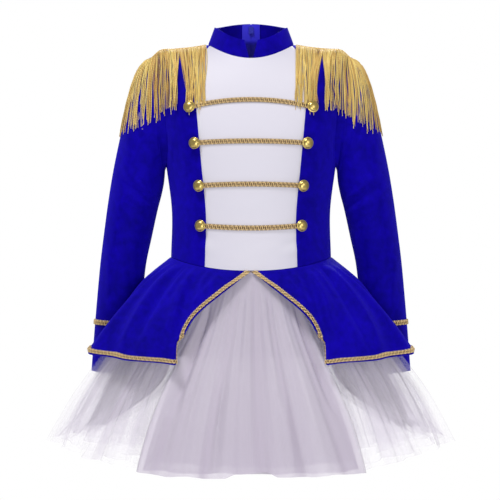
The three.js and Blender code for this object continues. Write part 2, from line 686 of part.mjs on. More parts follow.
// A three-sided lock that tapers to its tip, as positions and faces.
function lockGeometry(path, direction, width) {
  const across = new THREE.Vector3(-direction.y, direction.x, 0);
  const away = new THREE.Vector3(direction.x, direction.y, 0.3).normalize();
  const positions = [];
  const index = [];
  path.forEach((p, i) => {
    const half = (width / 2) * (1 - 0.45 * (i / (path.length - 1)));
    const corners = [
      p.clone().addScaledVector(across, half).addScaledVector(away, -half * 0.5),
      p.clone().addScaledVector(across, -half).addScaledVector(away, -half * 0.5),
      p.clone().addScaledVector(away, half),
    ];
    corners.forEach((corner) => positions.push(corner.x, corner.y, corner.z));
    if (i > 0) {
      const low = 3 * i;
      const high = low - 3;
      for (let k = 0; k < 3; k += 1) {
        const next = (k + 1) % 3;
        index.push(high + k, high + next, low + next, high + k, low + next, low + k);
      }
    }
  });
  const end = 3 * (path.length - 1);
  index.push(0, 2, 1, end, end + 1, end + 2);
  return facingOut(positions, index);
}

function toSolid(geometry) {
  const bare = geometry.clone();
  bare.deleteAttribute('normal');
  const merged = mergeVertices(bare, 1e-4);
  const mesh = new wasm.Mesh({
    numProp: 3,
    vertProperties: new Float32Array(merged.attributes.position.array),
    triVerts: new Uint32Array(merged.index.array),
  });
  return new wasm.Manifold(mesh);
}

function fromSolid(solid, mirrored) {
  const mesh = solid.getMesh();
  const positions = Array.from(mesh.vertProperties);
  if (mirrored) {
    for (let i = 0; i < positions.length; i += 3) {
      positions[i] = -positions[i];
    }
  }
  return facingOut(positions, Array.from(mesh.triVerts));
}

const HEADING_SPANS = 18;
const HEADING_LIFT = 0.75;
const HEADING_THICK = 1.2;
const LOCK_STEP = 4;
const LOCK_REACH = 4.5;
const LOCK_STANDOFF = 2.6;
const FRINGE_LOCKS = 46;
const FRINGE_GAP_FROM = 8;
const FRINGE_GAP_TO = 8;

// The heading strip and its locks, joined into one body. A lock is left out in front, where the
// fringe parts.
function makeFringe(name, mirrored, cloth) {
  const places = headingPlaces();
  const curve = new THREE.CatmullRomCurve3(places.map((place) => place.point));
  const normals = new THREE.CatmullRomCurve3(places.map((place) => place.normal));
  const outer = [];
  const inner = [];
  for (const at of spread(0, 1, HEADING_SPANS)) {
    const t = curve.getUtoTmapping(at);
    const normal = normals.getPoint(t).normalize();
    const across = curve.getTangent(t).cross(normal).normalize();
    const half = FRINGE_HEADING_WIDTH / 2;
    const edges = [-half, half].map((w) => curve.getPoint(t).addScaledVector(across, w));
    outer.push(edges.map((e) => e.clone().addScaledVector(normal, HEADING_THICK)));
    inner.push(edges.map((e) => e.clone()));
  }
  let solid = toSolid(shellGeometry(outer, inner, false));
  for (let i = 0; i < FRINGE_LOCKS; i += 1) {
    if (i >= FRINGE_GAP_FROM && i <= FRINGE_GAP_TO) {
      continue;
    }
    const at = (i + 0.5) / FRINGE_LOCKS;
    const along = curve.getTangentAt(at);
    const direction = new THREE.Vector3(along.y, -along.x, 0).normalize();
    const normal = normals.getPoint(curve.getUtoTmapping(at)).normalize();
    const root = curve.getPointAt(at).addScaledVector(normal, HEADING_THICK * 0.6);
    const length = FRINGE_LENGTH * (1 - 0.05 * ((i * 7) % 5) / 5);
    const path = lockPath(root, direction, cloth, length);
    solid = solid.add(toSolid(lockGeometry(path, direction, 3.6)));
  }
  addPiece(name, fromSolid(solid, mirrored), 'gold_fringe');
}

// Zip tapes on the inside of the back: v runs 0 to 1 down the collar, then on by the body's rings.
function zipPoint(across, v) {
  if (v < 1) {
    const width = COLLAR_TOP.width + (COLLAR_BASE.width - COLLAR_TOP.width) * v;
    return collarPoint(180 - Math.asin(across / width) * (180 / Math.PI), v);
  }
  const t = v - 1;
  const ratio = (across / column(BODY_RINGS, 'width', t)) ** (column(BODY_RINGS, 'power', t) / 2);
  return bodyPoint(180 - Math.asin(ratio) * (180 / Math.PI), t);
}

function makeZipTape(name, mirrored) {
  const bodyRows = bodiceRows.filter((t) => t > 0.01 && t <= ZIP_BOTTOM_RING).map((t) => 1 + t);
  const wall = { surface: zipPoint, columnsAt: () => [ZIP_SLOT_HALF + ZIP_TAPE_WIDTH, ZIP_SLOT_HALF],
    rows: [0.02, 0.5, 0.97, 1.02, ...bodyRows], thick: ZIP_TAPE_THICK, lift: -VELVET_THICK - ZIP_TAPE_GAP,
    mirrored, step_u: -0.05, step_v: 0.004 };
  addPiece(name, wallGeometry(wall), 'zip');
}

function boxSolid(width, depth, height, x, y, z) {
  const box = new THREE.BoxGeometry(width, depth, height).translate(x, y, z);
  box.deleteAttribute('uv');
  return toSolid(box);
}

// The slider: an inner plate, a neck through the slot, and an outer plate with an arched bridge.
// Built upright at y = 0 on the outer face of the collar, then leant like the collar.
function sliderFrame() {
  const down = (COLLAR_TOP.back_z - SLIDER.top_z) / (COLLAR_TOP.back_z - COLLAR_BASE.back_z);
  const seat = collarPoint(180, down);
  const lean = Math.atan2(COLLAR_BASE.back - COLLAR_TOP.back, COLLAR_TOP.back_z - COLLAR_BASE.back_z);
  return new THREE.Matrix4().makeRotationX(lean).setPosition(seat);
}

const outerFace = 2 * SEAM_GAP;
const innerFace = -VELVET_THICK - ZIP_TAPE_GAP - ZIP_TAPE_THICK - 2 * SEAM_GAP;
const plateMid = -SLIDER.height / 2;
const bridgeTop = outerFace + SLIDER.thick + BRIDGE.window;
const hingeY = outerFace + SLIDER.thick + BRIDGE.window / 2;
const hingeZ = plateMid + BRIDGE.height / 2 - BRIDGE.bar - 1.0;

function makeSlider() {
  const { width, height, thick, neck } = SLIDER;
  const through = outerFace + thick - (innerFace - thick);
  const bridgeMid = outerFace + thick + BRIDGE.window / 2;
  let solid = boxSolid(width, thick, height, 0, outerFace + thick / 2, plateMid);
  solid = solid.add(boxSolid(width, thick, height, 0, innerFace - thick / 2, plateMid));
  solid = solid.add(boxSolid(neck, through, height * 0.6, 0, (outerFace + innerFace) / 2, plateMid));
  const { bar } = BRIDGE;
  for (const end of [-1, 1]) {
    const z = plateMid + end * (BRIDGE.height - bar) / 2;
    solid = solid.add(boxSolid(BRIDGE.width, BRIDGE.window + 0.4, bar, 0, bridgeMid, z));
  }
  solid = solid.add(boxSolid(BRIDGE.width, bar, BRIDGE.height, 0, bridgeTop + bar / 2, plateMid));
  addPiece('zip_slider', fromSolid(solid, false).applyMatrix4(sliderFrame()), 'zip');
}

// The pull hangs from the bridge by the round bar at the top of its eye.
function makePull() {
  const { width, length, thick, eye_width, eye_length, bar } = PULL;
  const rim = (width - eye_width) / 2;
  const barGeometry = new THREE.CylinderGeometry(bar / 2, bar / 2, width, 8, 1).rotateZ(Math.PI / 2);
  barGeometry.deleteAttribute('uv');
  let solid = toSolid(barGeometry);
  for (const side of [-1, 1]) {
    const x = side * (eye_width + rim) / 2;
    solid = solid.add(boxSolid(rim, thick, eye_length + 0.3, x, 0, -(eye_length + 0.3) / 2));
  }
  const tab = length - eye_length;
  solid = solid.add(boxSolid(width, thick, tab, 0, 0, -eye_length - tab / 2));
  const geometry = fromSolid(solid, false).translate(0, hingeY, hingeZ).applyMatrix4(sliderFrame());
  addPiece('zip_pull', geometry, 'zip');
}

makeFrontPanel();
makeTulle();
makeUnderTulle();
makeSlider();
makePull();
BRAID_ROWS.forEach((row, i) => {
  makeBraidRow(`braid_row_${i + 1}`, row);
  makeButton(`button_${i + 1}_left`, row, 1);
  makeButton(`button_${i + 1}_right`, row, -1);
});
const cloth = clothPoints();
for (const [hand, mirrored] of [['left', false], ['right', true]]) {
  makeSideFront(`side_front_${hand}`, mirrored);
  makeBack(`back_${hand}`, mirrored);
  makeSleeve(`sleeve_${hand}`, mirrored);
  makeCuffBraid(`cuff_braid_${hand}`, mirrored);
  makeCollar(`collar_${hand}`, mirrored);
  makePeplum(`peplum_${hand}`, mirrored);
  makePeplumBraid(`peplum_braid_${hand}`, mirrored);
  makeFringe(`fringe_${hand}`, mirrored, cloth);
  makeZipTape(`zip_tape_${hand}`, mirrored);
}

export default costume;
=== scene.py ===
# A child's ringmaster dress as it looks: thin cloth with its creases on the solids' own form,
# gimp braid, twisted fringe cords, net skirt, zip teeth and sewing. Lengths in the tables are
# millimetres, angles are degrees: 0 is the centre front and 90 the wearer's left.
import math

import bmesh
import bpy
import numpy as np
from mathutils import Matrix, Vector


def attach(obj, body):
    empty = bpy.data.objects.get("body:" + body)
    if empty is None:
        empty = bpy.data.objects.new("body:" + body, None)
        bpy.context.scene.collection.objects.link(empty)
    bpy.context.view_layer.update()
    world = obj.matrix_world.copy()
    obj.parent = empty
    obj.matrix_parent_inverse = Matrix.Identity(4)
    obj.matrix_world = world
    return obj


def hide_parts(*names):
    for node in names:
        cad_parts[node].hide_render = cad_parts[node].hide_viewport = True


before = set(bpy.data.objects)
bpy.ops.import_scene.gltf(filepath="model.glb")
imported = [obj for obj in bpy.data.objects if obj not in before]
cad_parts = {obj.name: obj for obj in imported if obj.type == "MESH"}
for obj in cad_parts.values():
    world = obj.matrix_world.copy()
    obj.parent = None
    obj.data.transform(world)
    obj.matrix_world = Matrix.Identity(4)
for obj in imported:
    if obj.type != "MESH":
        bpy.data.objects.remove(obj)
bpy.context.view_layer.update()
MM = 0.001
HANDS = (("left", False), ("right", True))
scene = bpy.context.scene

# Cloth and trim sizes.
VELVET_THICK = 1.5
SEAM_GAP = 0.04
SEAM_DEPTH = 0.75
SEAM_REACH = 1.5
BRAID_LIFT = 0.6
BRAID_INSET = 4.5
GIMP_PITCH = 5.2
STRAND_RADIUS = 0.6
FRINGE_LENGTH = 97.0
ZIP_SLOT_HALF = 1.0
TOOTH_PITCH = 0.75
STITCH_PITCH = 3.4

# The same forms as the solids have, ring by ring from the top.
BODY = {
    "width": (55, 88, 120, 118, 108, 101, 102),
    "front": (47, 60, 70, 80, 83, 81, 79),
    "back": (42, 60, 74, 84, 82, 74, 71),
    "side_z": (6, 0.5, -7, -78, -149, -206, -264),
    "front_z": (-14, -38, -66, -108, -152, -216, -281),
    "back_z": (14, -8, -38, -92, -146, -208, -270),
    "power": (2.0, 2.2, 2.5, 2.6, 2.4, 2.3, 2.3),
    "panel": (53, 66, 70, 66.5, 62, 56.5, 58),
}
COLLAR = {
    "width": (46.5, 55), "front": (45, 47), "back": (40.5, 42),
    "side_z": (28.5, 5.8), "front_z": (8.5, -14.1), "back_z": (37, 13.8),
    "power": (2, 2), "notch": (8.5, 2.5),
}
SLEEVE = {
    "outer_x": (120, 133.5, 146, 156, 165, 175, 182, 188, 193, 197.5, 201.5, 205),
    "outer_z": (-7, -13, -33, -63, -102, -149, -190, -233, -272, -318, -364, -410),
    "inner_x": (108, 109.5, 110, 110.5, 111.5, 114.5, 119.5, 127, 134.5, 140, 147, 153.5),
    "inner_z": (-149, -153, -158, -164, -172, -186, -205, -239, -274, -321, -369, -416),
    "half_depth": (45, 44.5, 43, 41.5, 39.5, 37, 34.5, 32, 29.5, 27.5, 25.5, 24),
    "mid_y": (1, 1, 1, 1, 1, 2, 4, 7, 11, 15, 18, 19),
}
PEPLUM = {
    "width": (102, 137, 168, 197, 222),
    "front": (79, 94, 107, 118, 127),
    "back": (71, 93, 112, 129, 143),
    "side_z": (-263.6, -290, -319, -350, -381),
    "front_z": (-280.6, -311, -341, -370, -399),
    "back_z": (-269.6, -302, -335, -368, -400),
    "power": (2.2,) * 5,
    "valley": (0, 6, 33, 62, 84),
    "edge": (0.6, 13.5, 22, 23, 19.5),
}
TULLE = {
    "width": (99.9, 141, 188, 230, 266),
    "front": (76.9, 86, 99, 112, 125),
    "back": (68.9, 88, 108, 127, 144),
    "side_z": (-265.0, -320, -373, -427, -487),
    "front_z": (-282.1, -345, -407, -469, -531),
    "back_z": (-271.0, -334, -397, -460, -523),
    "power": (2.2,) * 5,
    "valley": (0, 28, 72, 90, 34),
    "bulge": (0, 3, 10, 18, 25),
}
BRAID_ROWS = (
    {"mid": -68.0, "end": -77.0, "half": 76.0},
    {"mid": -120.0, "end": -122.0, "half": 69.0},
    {"mid": -173.5, "end": -175.0, "half": 63.5},
    {"mid": -228.0, "end": -225.0, "half": 61.5},
)
# How far the sleeve's head goes into the armhole's edge, so that no light shows in the seam.
SLEEVE_TUCK = 0.5
# The armhole's middle by the body's rings, a ring high either way, and its reach in degrees.
ARMHOLE_RING = 3
ARMHOLE_FRONT = 27.0
ARMHOLE_BACK = 24.0
# Where the arm presses the skirts in, and how far to either side.
ARM_ANGLE = 97
ARM_REACH = 25
# The peplum halves meet here, 0.02 mm off the centre back at their hem.
PEPLUM_SEAM = 179.998
PEPLUM_DROP = 155
# The roll of the peplum's front edge low down: its width, its radius and its turn in radians.
CURL_WIDTH = 15
CURL_RADIUS = 2.6
CURL_TURN = 2.7
# The ragged flutes of the net stand this much further in than the solids' even ones.
TULLE_TRIM = 3.0
TULLE_SPANS = 600
TULLE_ROWS = 64
# Steps in degrees and in rings for a form's normals.
STEPS = (0.05, 0.002)


def column(values, at):
    """The smooth value of one column of a table at row numbers that need not be whole."""
    rows = np.asarray(values, float)
    last = len(rows) - 1
    t = np.clip(at, 0, last)
    i = np.minimum(np.floor(t).astype(int), last - 1)
    f = t - i
    p1 = rows[i]
    p2 = rows[i + 1]
    p0 = np.where(i > 0, rows[np.maximum(i - 1, 0)], 2 * p1 - p2)
    p3 = np.where(i + 2 <= last, rows[np.minimum(i + 2, last)], 2 * p2 - p1)
    m1 = (p2 - p0) / 2
    m2 = (p3 - p1) / 2
    f2 = f * f
    f3 = f2 * f
    return (2 * f3 - 3 * f2 + 1) * p1 + (f3 - 2 * f2 + f) * m1 + (3 * f2 - 2 * f3) * p2 + (f3 - f2) * m2


def smooth_step(start, end, value):
    f = np.clip((value - start) / (end - start), 0, 1)
    return f * f * (3 - 2 * f)


def unit(v):
    return v / np.maximum(np.linalg.norm(v, axis=-1, keepdims=True), 1e-9)


def arc_length(points):
    """The way along a row of points up to each of them."""
    return np.concatenate([[0], np.cumsum(np.linalg.norm(np.diff(points, axis=0), axis=1))])


def ring_point(table, angle, t):
    """A point of a squared ellipse round the body, at rings t of the table."""
    a = np.radians(angle)
    s = np.sin(a)
    c = np.cos(a)
    end = 2 / column(table["power"], t)
    x = column(table["width"], t) * np.sign(s) * np.abs(s) ** end
    in_front = c >= 0
    depth = np.where(in_front, -column(table["front"], t), column(table["back"], t))
    y = depth * np.abs(c) ** end
    side = column(table["side_z"], t)
    far = np.where(in_front, column(table["front_z"], t), column(table["back_z"], t))
    return np.stack([x, y, side + (far - side) * c * c], axis=-1)


def body_point(angle, t):
    return ring_point(BODY, angle, t)


def collar_point(angle, t):
    return ring_point(COLLAR, angle, t)


def armhole_angle(t, reach):
    """How far the armhole reaches from the side, in degrees, at rings t."""
    across = np.sqrt(np.maximum(0, 1 - (ARMHOLE_RING - t) ** 2))
    return reach * across ** 0.9


def armhole_point(turn):
    t = ARMHOLE_RING - np.cos(np.radians(turn))
    in_front = np.sin(np.radians(turn)) >= 0
    reach = np.where(in_front, ARMHOLE_FRONT, ARMHOLE_BACK)
    return body_point(90 + np.where(in_front, -1, 1) * armhole_angle(t, reach), t)


def sleeve_ellipse(turn, r):
    a = np.radians(turn)
    ring = {name: column(values, r) for name, values in SLEEVE.items()}
    across = np.cos(a)
    x = (ring["outer_x"] + ring["inner_x"]) / 2 + (ring["outer_x"] - ring["inner_x"]) / 2 * across
    z = (ring["outer_z"] + ring["inner_z"]) / 2 + (ring["outer_z"] - ring["inner_z"]) / 2 * across
    return np.stack([x, ring["mid_y"] - ring["half_depth"] * np.sin(a), z], axis=-1)


def sleeve_point(turn, r):
    """The sleeve starts on the armhole's edge and becomes an ellipse within a ring and a half."""
    turn, r = np.broadcast_arrays(turn, r)
    fade = (np.maximum(0, 1 - r / 1.5) ** 2)[..., None]
    start = armhole_point(turn) - sleeve_ellipse(turn, np.zeros_like(r))
    point = sleeve_ellipse(turn, r) + start * fade
    point[..., 0] -= SLEEVE_TUCK * fade[..., 0]
    return point


def valley_share(angle):
    """How far the arm presses a skirt in, 0 outside its valley and 1 at its middle."""
    return 1 - smooth_step(0.25, 1, np.abs(np.abs(angle) - ARM_ANGLE) / ARM_REACH)


def skirt_point(table, angle, t, wave):
    point = ring_point(table, angle, t)
    radius = np.hypot(point[..., 0], point[..., 1])
    moved = radius + wave - column(table["valley"], t) * valley_share(angle)
    point[..., 0] *= moved / radius
    point[..., 1] *= moved / radius
    return point


def peplum_length(t):
    """A peplum half's length in mm, from its front edge to the centre back, at rings t."""
    return 290 + 78 * t


def peplum_angle(u, t):
    front = column(PEPLUM["edge"], t)
    return front + (PEPLUM_SEAM - front) * u


def peplum_point(u, t):
    """u runs 0 to 1 from the front edge to the centre back; low down the edge curls in, braid and all."""
    length = peplum_length(t)
    curled = CURL_WIDTH * smooth_step(2.5, 3.2, t)
    over = np.maximum(0, curled - u * length)
    turned = np.minimum(over / CURL_RADIUS, CURL_TURN)
    rest = np.maximum(0, over - CURL_RADIUS * CURL_TURN)
    along = CURL_RADIUS * np.sin(turned) + rest * math.cos(CURL_TURN)
    u = np.where(over > 0, (curled - along) / length, u)
    inward = CURL_RADIUS * (1 - np.cos(turned)) + rest * math.sin(CURL_TURN)
    angle = peplum_angle(u, t)
    depth = 6 * np.maximum(0, t / 4) ** 1.2
    main = np.cos(np.radians(17 * (angle - 40)))
    slow = np.cos(np.radians(8.5 * (angle - 10)))
    return skirt_point(PEPLUM, angle, t, depth * (0.75 * main + 0.35 * slow) - inward)


def creased(a, b, creases):
    """Height in mm at places (a, b) of folds given as (a0, b0, a1, b1, width, height) rows."""
    a, b = np.broadcast_arrays(a, b)
    total = np.zeros(a.shape)
    for a0, b0, a1, b1, width, height in creases:
        da = a1 - a0
        db = b1 - b0
        s = np.clip(((a - a0) * da + (b - b0) * db) / (da * da + db * db), 0, 1)
        away = np.hypot(a - a0 - s * da, b - b0 - s * db)
        total += height * np.sin(math.pi * s) ** 0.7 * np.exp(-((away / width) ** 2))
    return total


def normal_of(surface, u, v, step_u, step_v, turn):
    du = surface(u + step_u, v) - surface(u - step_u, v)
    dv = surface(u, v + step_v) - surface(u, v - step_v)
    return unit(np.cross(dv, du)) * turn


class Surface:
    """A form with its creases; place() gives points on it and its normals, both in mm."""

    def __init__(self, form, relief, step_u, step_v, turn=1):
        self.form = form
        self.relief = relief
        self.steps = (step_u, step_v, turn)

    def place(self, u, v, lift=0.0):
        u, v = np.broadcast_arrays(np.asarray(u, float), np.asarray(v, float))
        normal = normal_of(self.form, u, v, *self.steps)
        height = self.relief(u, v) + lift
        return self.form(u, v) + normal * np.asarray(height)[..., None], normal


# Creases as (start, end, width, height). On the bodice they count across in degrees times
# BODY_SCALE, which is mm round a body of 100 mm, and up in mm; the same folds cross its seams.
BODY_SCALE = 1.75
BODY_CREASES = (
    (26, -262, 96, -246, 5, 0.7), (30, -252, 92, -232, 4, -0.6),
    (-34, -258, -98, -241, 5, 0.7), (-28, -247, -88, -228, 4, -0.5),
    (62, -206, 132, -190, 6, 0.9), (70, -196, 128, -181, 5, -0.8),
    (-60, -212, -126, -193, 6, 0.9), (-72, -199, -130, -186, 5, -0.7),
    (118, -150, 92, -112, 5, 1.0), (128, -146, 106, -104, 4, -0.9),
    (-120, -152, -96, -108, 5, 1.0), (-130, -145, -108, -100, 4, -0.9),
    (84, -166, 70, -120, 7, 0.6), (-86, -170, -72, -124, 7, 0.6),
    (190, -214, 284, -206, 6, 1.0), (196, -203, 278, -194, 5, -0.8),
    (-188, -218, -282, -203, 6, 1.0), (-198, -205, -276, -191, 5, -0.8),
    (182, -252, 262, -240, 5, 0.9), (-184, -250, -266, -243, 5, 0.8),
    (186, -150, 214, -104, 6, 0.9), (-186, -148, -212, -108, 6, 0.9),
    (246, -120, 296, -60, 9, 0.8), (-244, -116, -292, -64, 9, 0.8),
    (-6, -262, 34, -250, 6, 0.35), (-30, -205, 22, -198, 9, 0.3),
)
BACK_CREASES = ((300, -212, 330, -206, 7, 0.6),)
# Sleeve folds: across in mm round the sleeve, down in mm. The scale is mm a degree and mm a ring.
SLEEVE_SCALE = (0.62, 40)
SLEEVE_CREASES = (
    (18, 60, 70, 118, 7, 1.8), (8, 78, 62, 138, 6, -1.6),
    (30, 196, 106, 222, 6, 2.2), (28, 212, 104, 240, 5, -2.0),
    (34, 232, 110, 250, 5, 1.8), (42, 250, 106, 270, 5, -1.4),
    (20, 300, 60, 388, 8, 1.5), (48, 286, 84, 372, 7, -1.3),
    (118, 190, 186, 226, 6, 1.8), (122, 214, 190, 246, 6, -1.6),
    (150, 70, 206, 130, 8, 1.6), (140, 290, 176, 380, 8, 1.4),
    (62, 30, 96, 96, 8, 1.4), (74, 22, 108, 84, 6, -1.2),
    (120, 26, 152, 90, 8, 1.4), (4, 140, 40, 190, 8, 1.2),
    (196, 150, 172, 200, 7, 1.4), (60, 330, 112, 352, 6, 1.2),
)
RIGHT_SLEEVE_CREASES = (
    (12, 68, 64, 124, 8, 1.7), (4, 92, 56, 146, 6, -1.5),
    (26, 188, 100, 216, 7, 2.0), (24, 206, 98, 232, 5, -2.0),
    (36, 226, 108, 244, 5, 1.7), (40, 262, 96, 286, 6, -1.4),
    (28, 296, 52, 392, 8, 1.6), (58, 300, 88, 380, 7, -1.3),
    (122, 198, 184, 232, 6, 1.7), (118, 222, 192, 252, 6, -1.5),
    (146, 64, 202, 120, 8, 1.6), (136, 296, 170, 386, 8, 1.4),
    (58, 34, 92, 100, 8, 1.3), (70, 26, 104, 90, 6, -1.2),
    (124, 30, 156, 94, 8, 1.4), (10, 136, 46, 182, 8, 1.2),
    (198, 142, 176, 196, 7, 1.4), (66, 322, 110, 346, 6, 1.2),
)
# Peplum folds, from the centre front and from the waist, scaled as on the sleeves.
PEPLUM_SCALE = (3, 40)
PEPLUM_CREASES = (
    (170, 4, 140, 156, 12, 8.5), (150, 20, 120, 158, 8, -3.5),
    (118, 2, 90, 110, 10, 6.0), (102, 20, 78, 130, 7, -2.8),
    (196, 6, 184, 156, 10, 5.0), (214, 20, 208, 156, 8, -3.0),
    (240, 30, 246, 156, 9, 3.4), (330, 10, 352, 156, 11, 5.5),
    (354, 8, 372, 156, 8, -3.2), (392, 6, 404, 156, 11, 5.8),
    (426, 8, 432, 156, 8, -3.4), (466, 4, 474, 156, 11, 5.0),
    (506, 6, 508, 156, 9, -3.0), (134, 2, 124, 56, 6, 3.0),
    (84, 2, 74, 60, 6, 2.6), (152, 2, 150, 40, 4, -1.6),
    (448, 4, 452, 70, 6, 2.6), (380, 4, 388, 66, 6, 2.4),
    (60, 12, 76, 64, 6, 2.2), (98, 70, 88, 158, 8, 3.6),
)


def body_relief(u, v):
    z = body_point(u, v)[..., 2]
    from_front = ((u + 180) % 360 - 180) * BODY_SCALE
    return creased(from_front, z, BODY_CREASES) + creased(u % 360 * BODY_SCALE, z, BACK_CREASES)


def sleeve_relief(rows):
    across, down = SLEEVE_SCALE

    def relief(turn, r):
        held = smooth_step(0.1, 1.2, r) * (1 - smooth_step(9.2, 9.5, r))
        return creased(turn % 360 * across, r * down, rows) * held
    return relief


def peplum_relief(u, t):
    across, down = PEPLUM_SCALE
    angle = peplum_angle(u, t)
    held = smooth_step(0, 0.5, t) * (1 - 0.8 * valley_share(angle))
    return creased(angle * across, t * down, PEPLUM_CREASES) * held


def no_relief(u, v):
    return np.zeros(np.broadcast(u, v).shape)


body_surface = Surface(body_point, body_relief, *STEPS)
collar_surface = Surface(collar_point, no_relief, *STEPS)
sleeve_surfaces = {
    "left": Surface(sleeve_point, sleeve_relief(SLEEVE_CREASES), *STEPS, -1),
    "right": Surface(sleeve_point, sleeve_relief(RIGHT_SLEEVE_CREASES), *STEPS, -1),
}
peplum_surface = Surface(peplum_point, peplum_relief, 0.0005, 0.01)


def grid_mesh(name, sheets, closed, flip, uv):
    """A mesh from one grid of points, or from an outer and an inner one joined by rims.

    Each sheet is rows by columns by 3 in mm; uv is rows by columns by 2 in metres, with one more
    column where the grid is closed.
    """
    rows, columns = sheets[0].shape[:2]
    spans = columns if closed else columns - 1
    r, c = np.meshgrid(np.arange(rows - 1), np.arange(spans), indexing="ij")
    corners = [(r, c), (r + 1, c), (r + 1, c + 1), (r, c + 1)]
    faces = [np.stack([i * columns + j % columns for i, j in corners], -1).reshape(-1, 4)]
    places = [np.stack([i * uv.shape[1] + j for i, j in corners], -1).reshape(-1, 4)]
    if len(sheets) == 2:
        size = rows * columns
        faces.append(faces[0][:, ::-1] + size)
        places.append(places[0][:, ::-1])
        j = np.arange(spans)
        low = 0 * j + rows - 1
        edges = [((0 * j, j + 1), (0 * j, j)), ((low, j), (low, j + 1))]
        if not closed:
            i = np.arange(rows - 1)
            far = 0 * i + columns - 1
            edges += [((i, 0 * i), (i + 1, 0 * i)), ((i + 1, far), (i, far))]
        for (i0, j0), (i1, j1) in edges:
            a = i0 * columns + j0 % columns
            b = i1 * columns + j1 % columns
            faces.append(np.stack([b, a, a + size, b + size], -1))
            pa = i0 * uv.shape[1] + j0
            pb = i1 * uv.shape[1] + j1
            places.append(np.stack([pb, pa, pa, pb], -1))
    quads = np.concatenate(faces)
    spots = np.concatenate(places)
    if flip:
        quads = quads[:, ::-1]
        spots = spots[:, ::-1]
    points = np.concatenate([s.reshape(-1, 3) for s in sheets]) * MM
    mesh = bpy.data.meshes.new(name)
    mesh.vertices.add(len(points))
    mesh.vertices.foreach_set("co", points.ravel())
    mesh.loops.add(quads.size)
    mesh.loops.foreach_set("vertex_index", quads.ravel().astype(np.int32))
    mesh.polygons.add(len(quads))
    mesh.polygons.foreach_set("loop_start", np.arange(0, quads.size, 4, dtype=np.int32))
    mesh.update(calc_edges=True)
    layer = mesh.uv_layers.new(name="UVMap")
    layer.data.foreach_set("uv", uv.reshape(-1, 2)[spots.ravel()].ravel())
    mesh.shade_smooth()
    mesh.set_sharp_from_angle(angle=math.radians(55))
    mesh.validate()
    return mesh


def surface_uv(points, closed):
    """Metres along and down a grid, for weaves; the middle column is 0 across."""
    grid = np.concatenate([points, points[:, :1]], axis=1) if closed else points
    across = np.cumsum(np.linalg.norm(np.diff(grid, axis=1), axis=-1), axis=1)
    across = np.concatenate([np.zeros((len(grid), 1)), across], axis=1)
    across -= across[:, across.shape[1] // 2][:, None]
    down = np.cumsum(np.linalg.norm(np.diff(grid, axis=0), axis=-1).mean(axis=1))
    down = np.concatenate([[0], down])[:, None] * np.ones_like(across)
    return np.stack([across, down], axis=-1) * MM


def mirrored(points):
    return points * np.array([-1, 1, 1])


def place_in_scene(name, mesh, material):
    piece = bpy.data.objects.new(name, mesh)
    scene.collection.objects.link(piece)
    mesh.materials.append(material)
    return piece


made = {}


def cloth(name, surface, u, v, material, right=False, closed=False, rolled="lr"):
    """A thin shell on a surface, kept in made. A seam turns in its rolled edges: l, r, t, b."""
    rows, columns = u.shape
    points, normal = surface.place(u, v)
    base = surface.form(u, v)
    across = np.linalg.norm(np.diff(base, axis=1), axis=-1)
    from_left = np.concatenate([np.zeros((rows, 1)), np.cumsum(across, axis=1)], axis=1)
    down = np.linalg.norm(np.diff(base, axis=0), axis=-1)
    from_top = np.concatenate([np.zeros((1, columns)), np.cumsum(down, axis=0)], axis=0)
    groove = np.zeros(u.shape)
    reach = {
        "l": from_left, "r": from_left[:, -1:] - from_left,
        "t": from_top, "b": from_top[-1:] - from_top,
    }
    for edge in rolled:
        groove = np.maximum(groove, SEAM_DEPTH * np.exp(-((reach[edge] / SEAM_REACH) ** 2)))
    outer = points - normal * groove[..., None]
    inner = points - normal * VELVET_THICK
    uv = surface_uv(points, closed)
    flip = surface.steps[2] < 0
    if right:
        outer = mirrored(outer)
        inner = mirrored(inner)
        flip = not flip
    made[name] = place_in_scene(name, grid_mesh(name, [outer, inner], closed, flip, uv), material)


def linear(code):
    """An sRGB hex colour as linear RGBA."""
    values = []
    for i in (0, 2, 4):
        c = int(code[i:i + 2], 16) / 255
        values.append(c / 12.92 if c <= 0.04045 else ((c + 0.055) / 1.055) ** 2.4)
    return (*values, 1.0)


def node(tree, kind, inputs=None, **settings):
    """Adds a node; an input is a number, a colour or the socket that feeds it."""
    made = tree.nodes.new(kind)
    for key, value in settings.items():
        setattr(made, key, value)
    for key, value in (inputs or {}).items():
        if isinstance(value, bpy.types.NodeSocket):
            tree.links.new(value, made.inputs[key])
        else:
            made.inputs[key].default_value = value
    return made


def new_material(name, **sockets):
    """A Principled material with constants on its own sockets."""
    made = bpy.data.materials.new(name)
    made.use_nodes = True
    tree = made.node_tree
    shader = tree.nodes["Principled BSDF"]
    for key, value in sockets.items():
        shader.inputs[key.replace("_", " ")].default_value = value
    return made, tree, shader


def mix_colours(tree, factor, a, b):
    """Mixes two colours; the first is a hex code or a socket."""
    first = a if isinstance(a, bpy.types.NodeSocket) else linear(a)
    return node(tree, "ShaderNodeMix", {0: factor, 6: first, 7: linear(b)}, data_type="RGBA").outputs[2]


def math_of(tree, operation, *values):
    return node(tree, "ShaderNodeMath", dict(enumerate(values)), operation=operation).outputs[0]


def ranged(tree, value, low, high, to_low=0.0, to_high=1.0):
    parts = {0: value, 1: low, 2: high, 3: to_low, 4: to_high}
    return node(tree, "ShaderNodeMapRange", parts).outputs[0]


def noise(tree, place, scale, detail):
    return node(tree, "ShaderNodeTexNoise", {"Vector": place, "Scale": scale, "Detail": detail}).outputs[0]


def attribute(tree, name):
    return node(tree, "ShaderNodeAttribute", attribute_name=name).outputs["Fac"]


def coordinates(tree, kind):
    return node(tree, "ShaderNodeTexCoord").outputs[kind]


def set_bump(tree, shader, height, strength, distance):
    bump = node(tree, "ShaderNodeBump", {"Height": height, "Strength": strength, "Distance": distance})
    tree.links.new(bump.outputs[0], shader.inputs["Normal"])


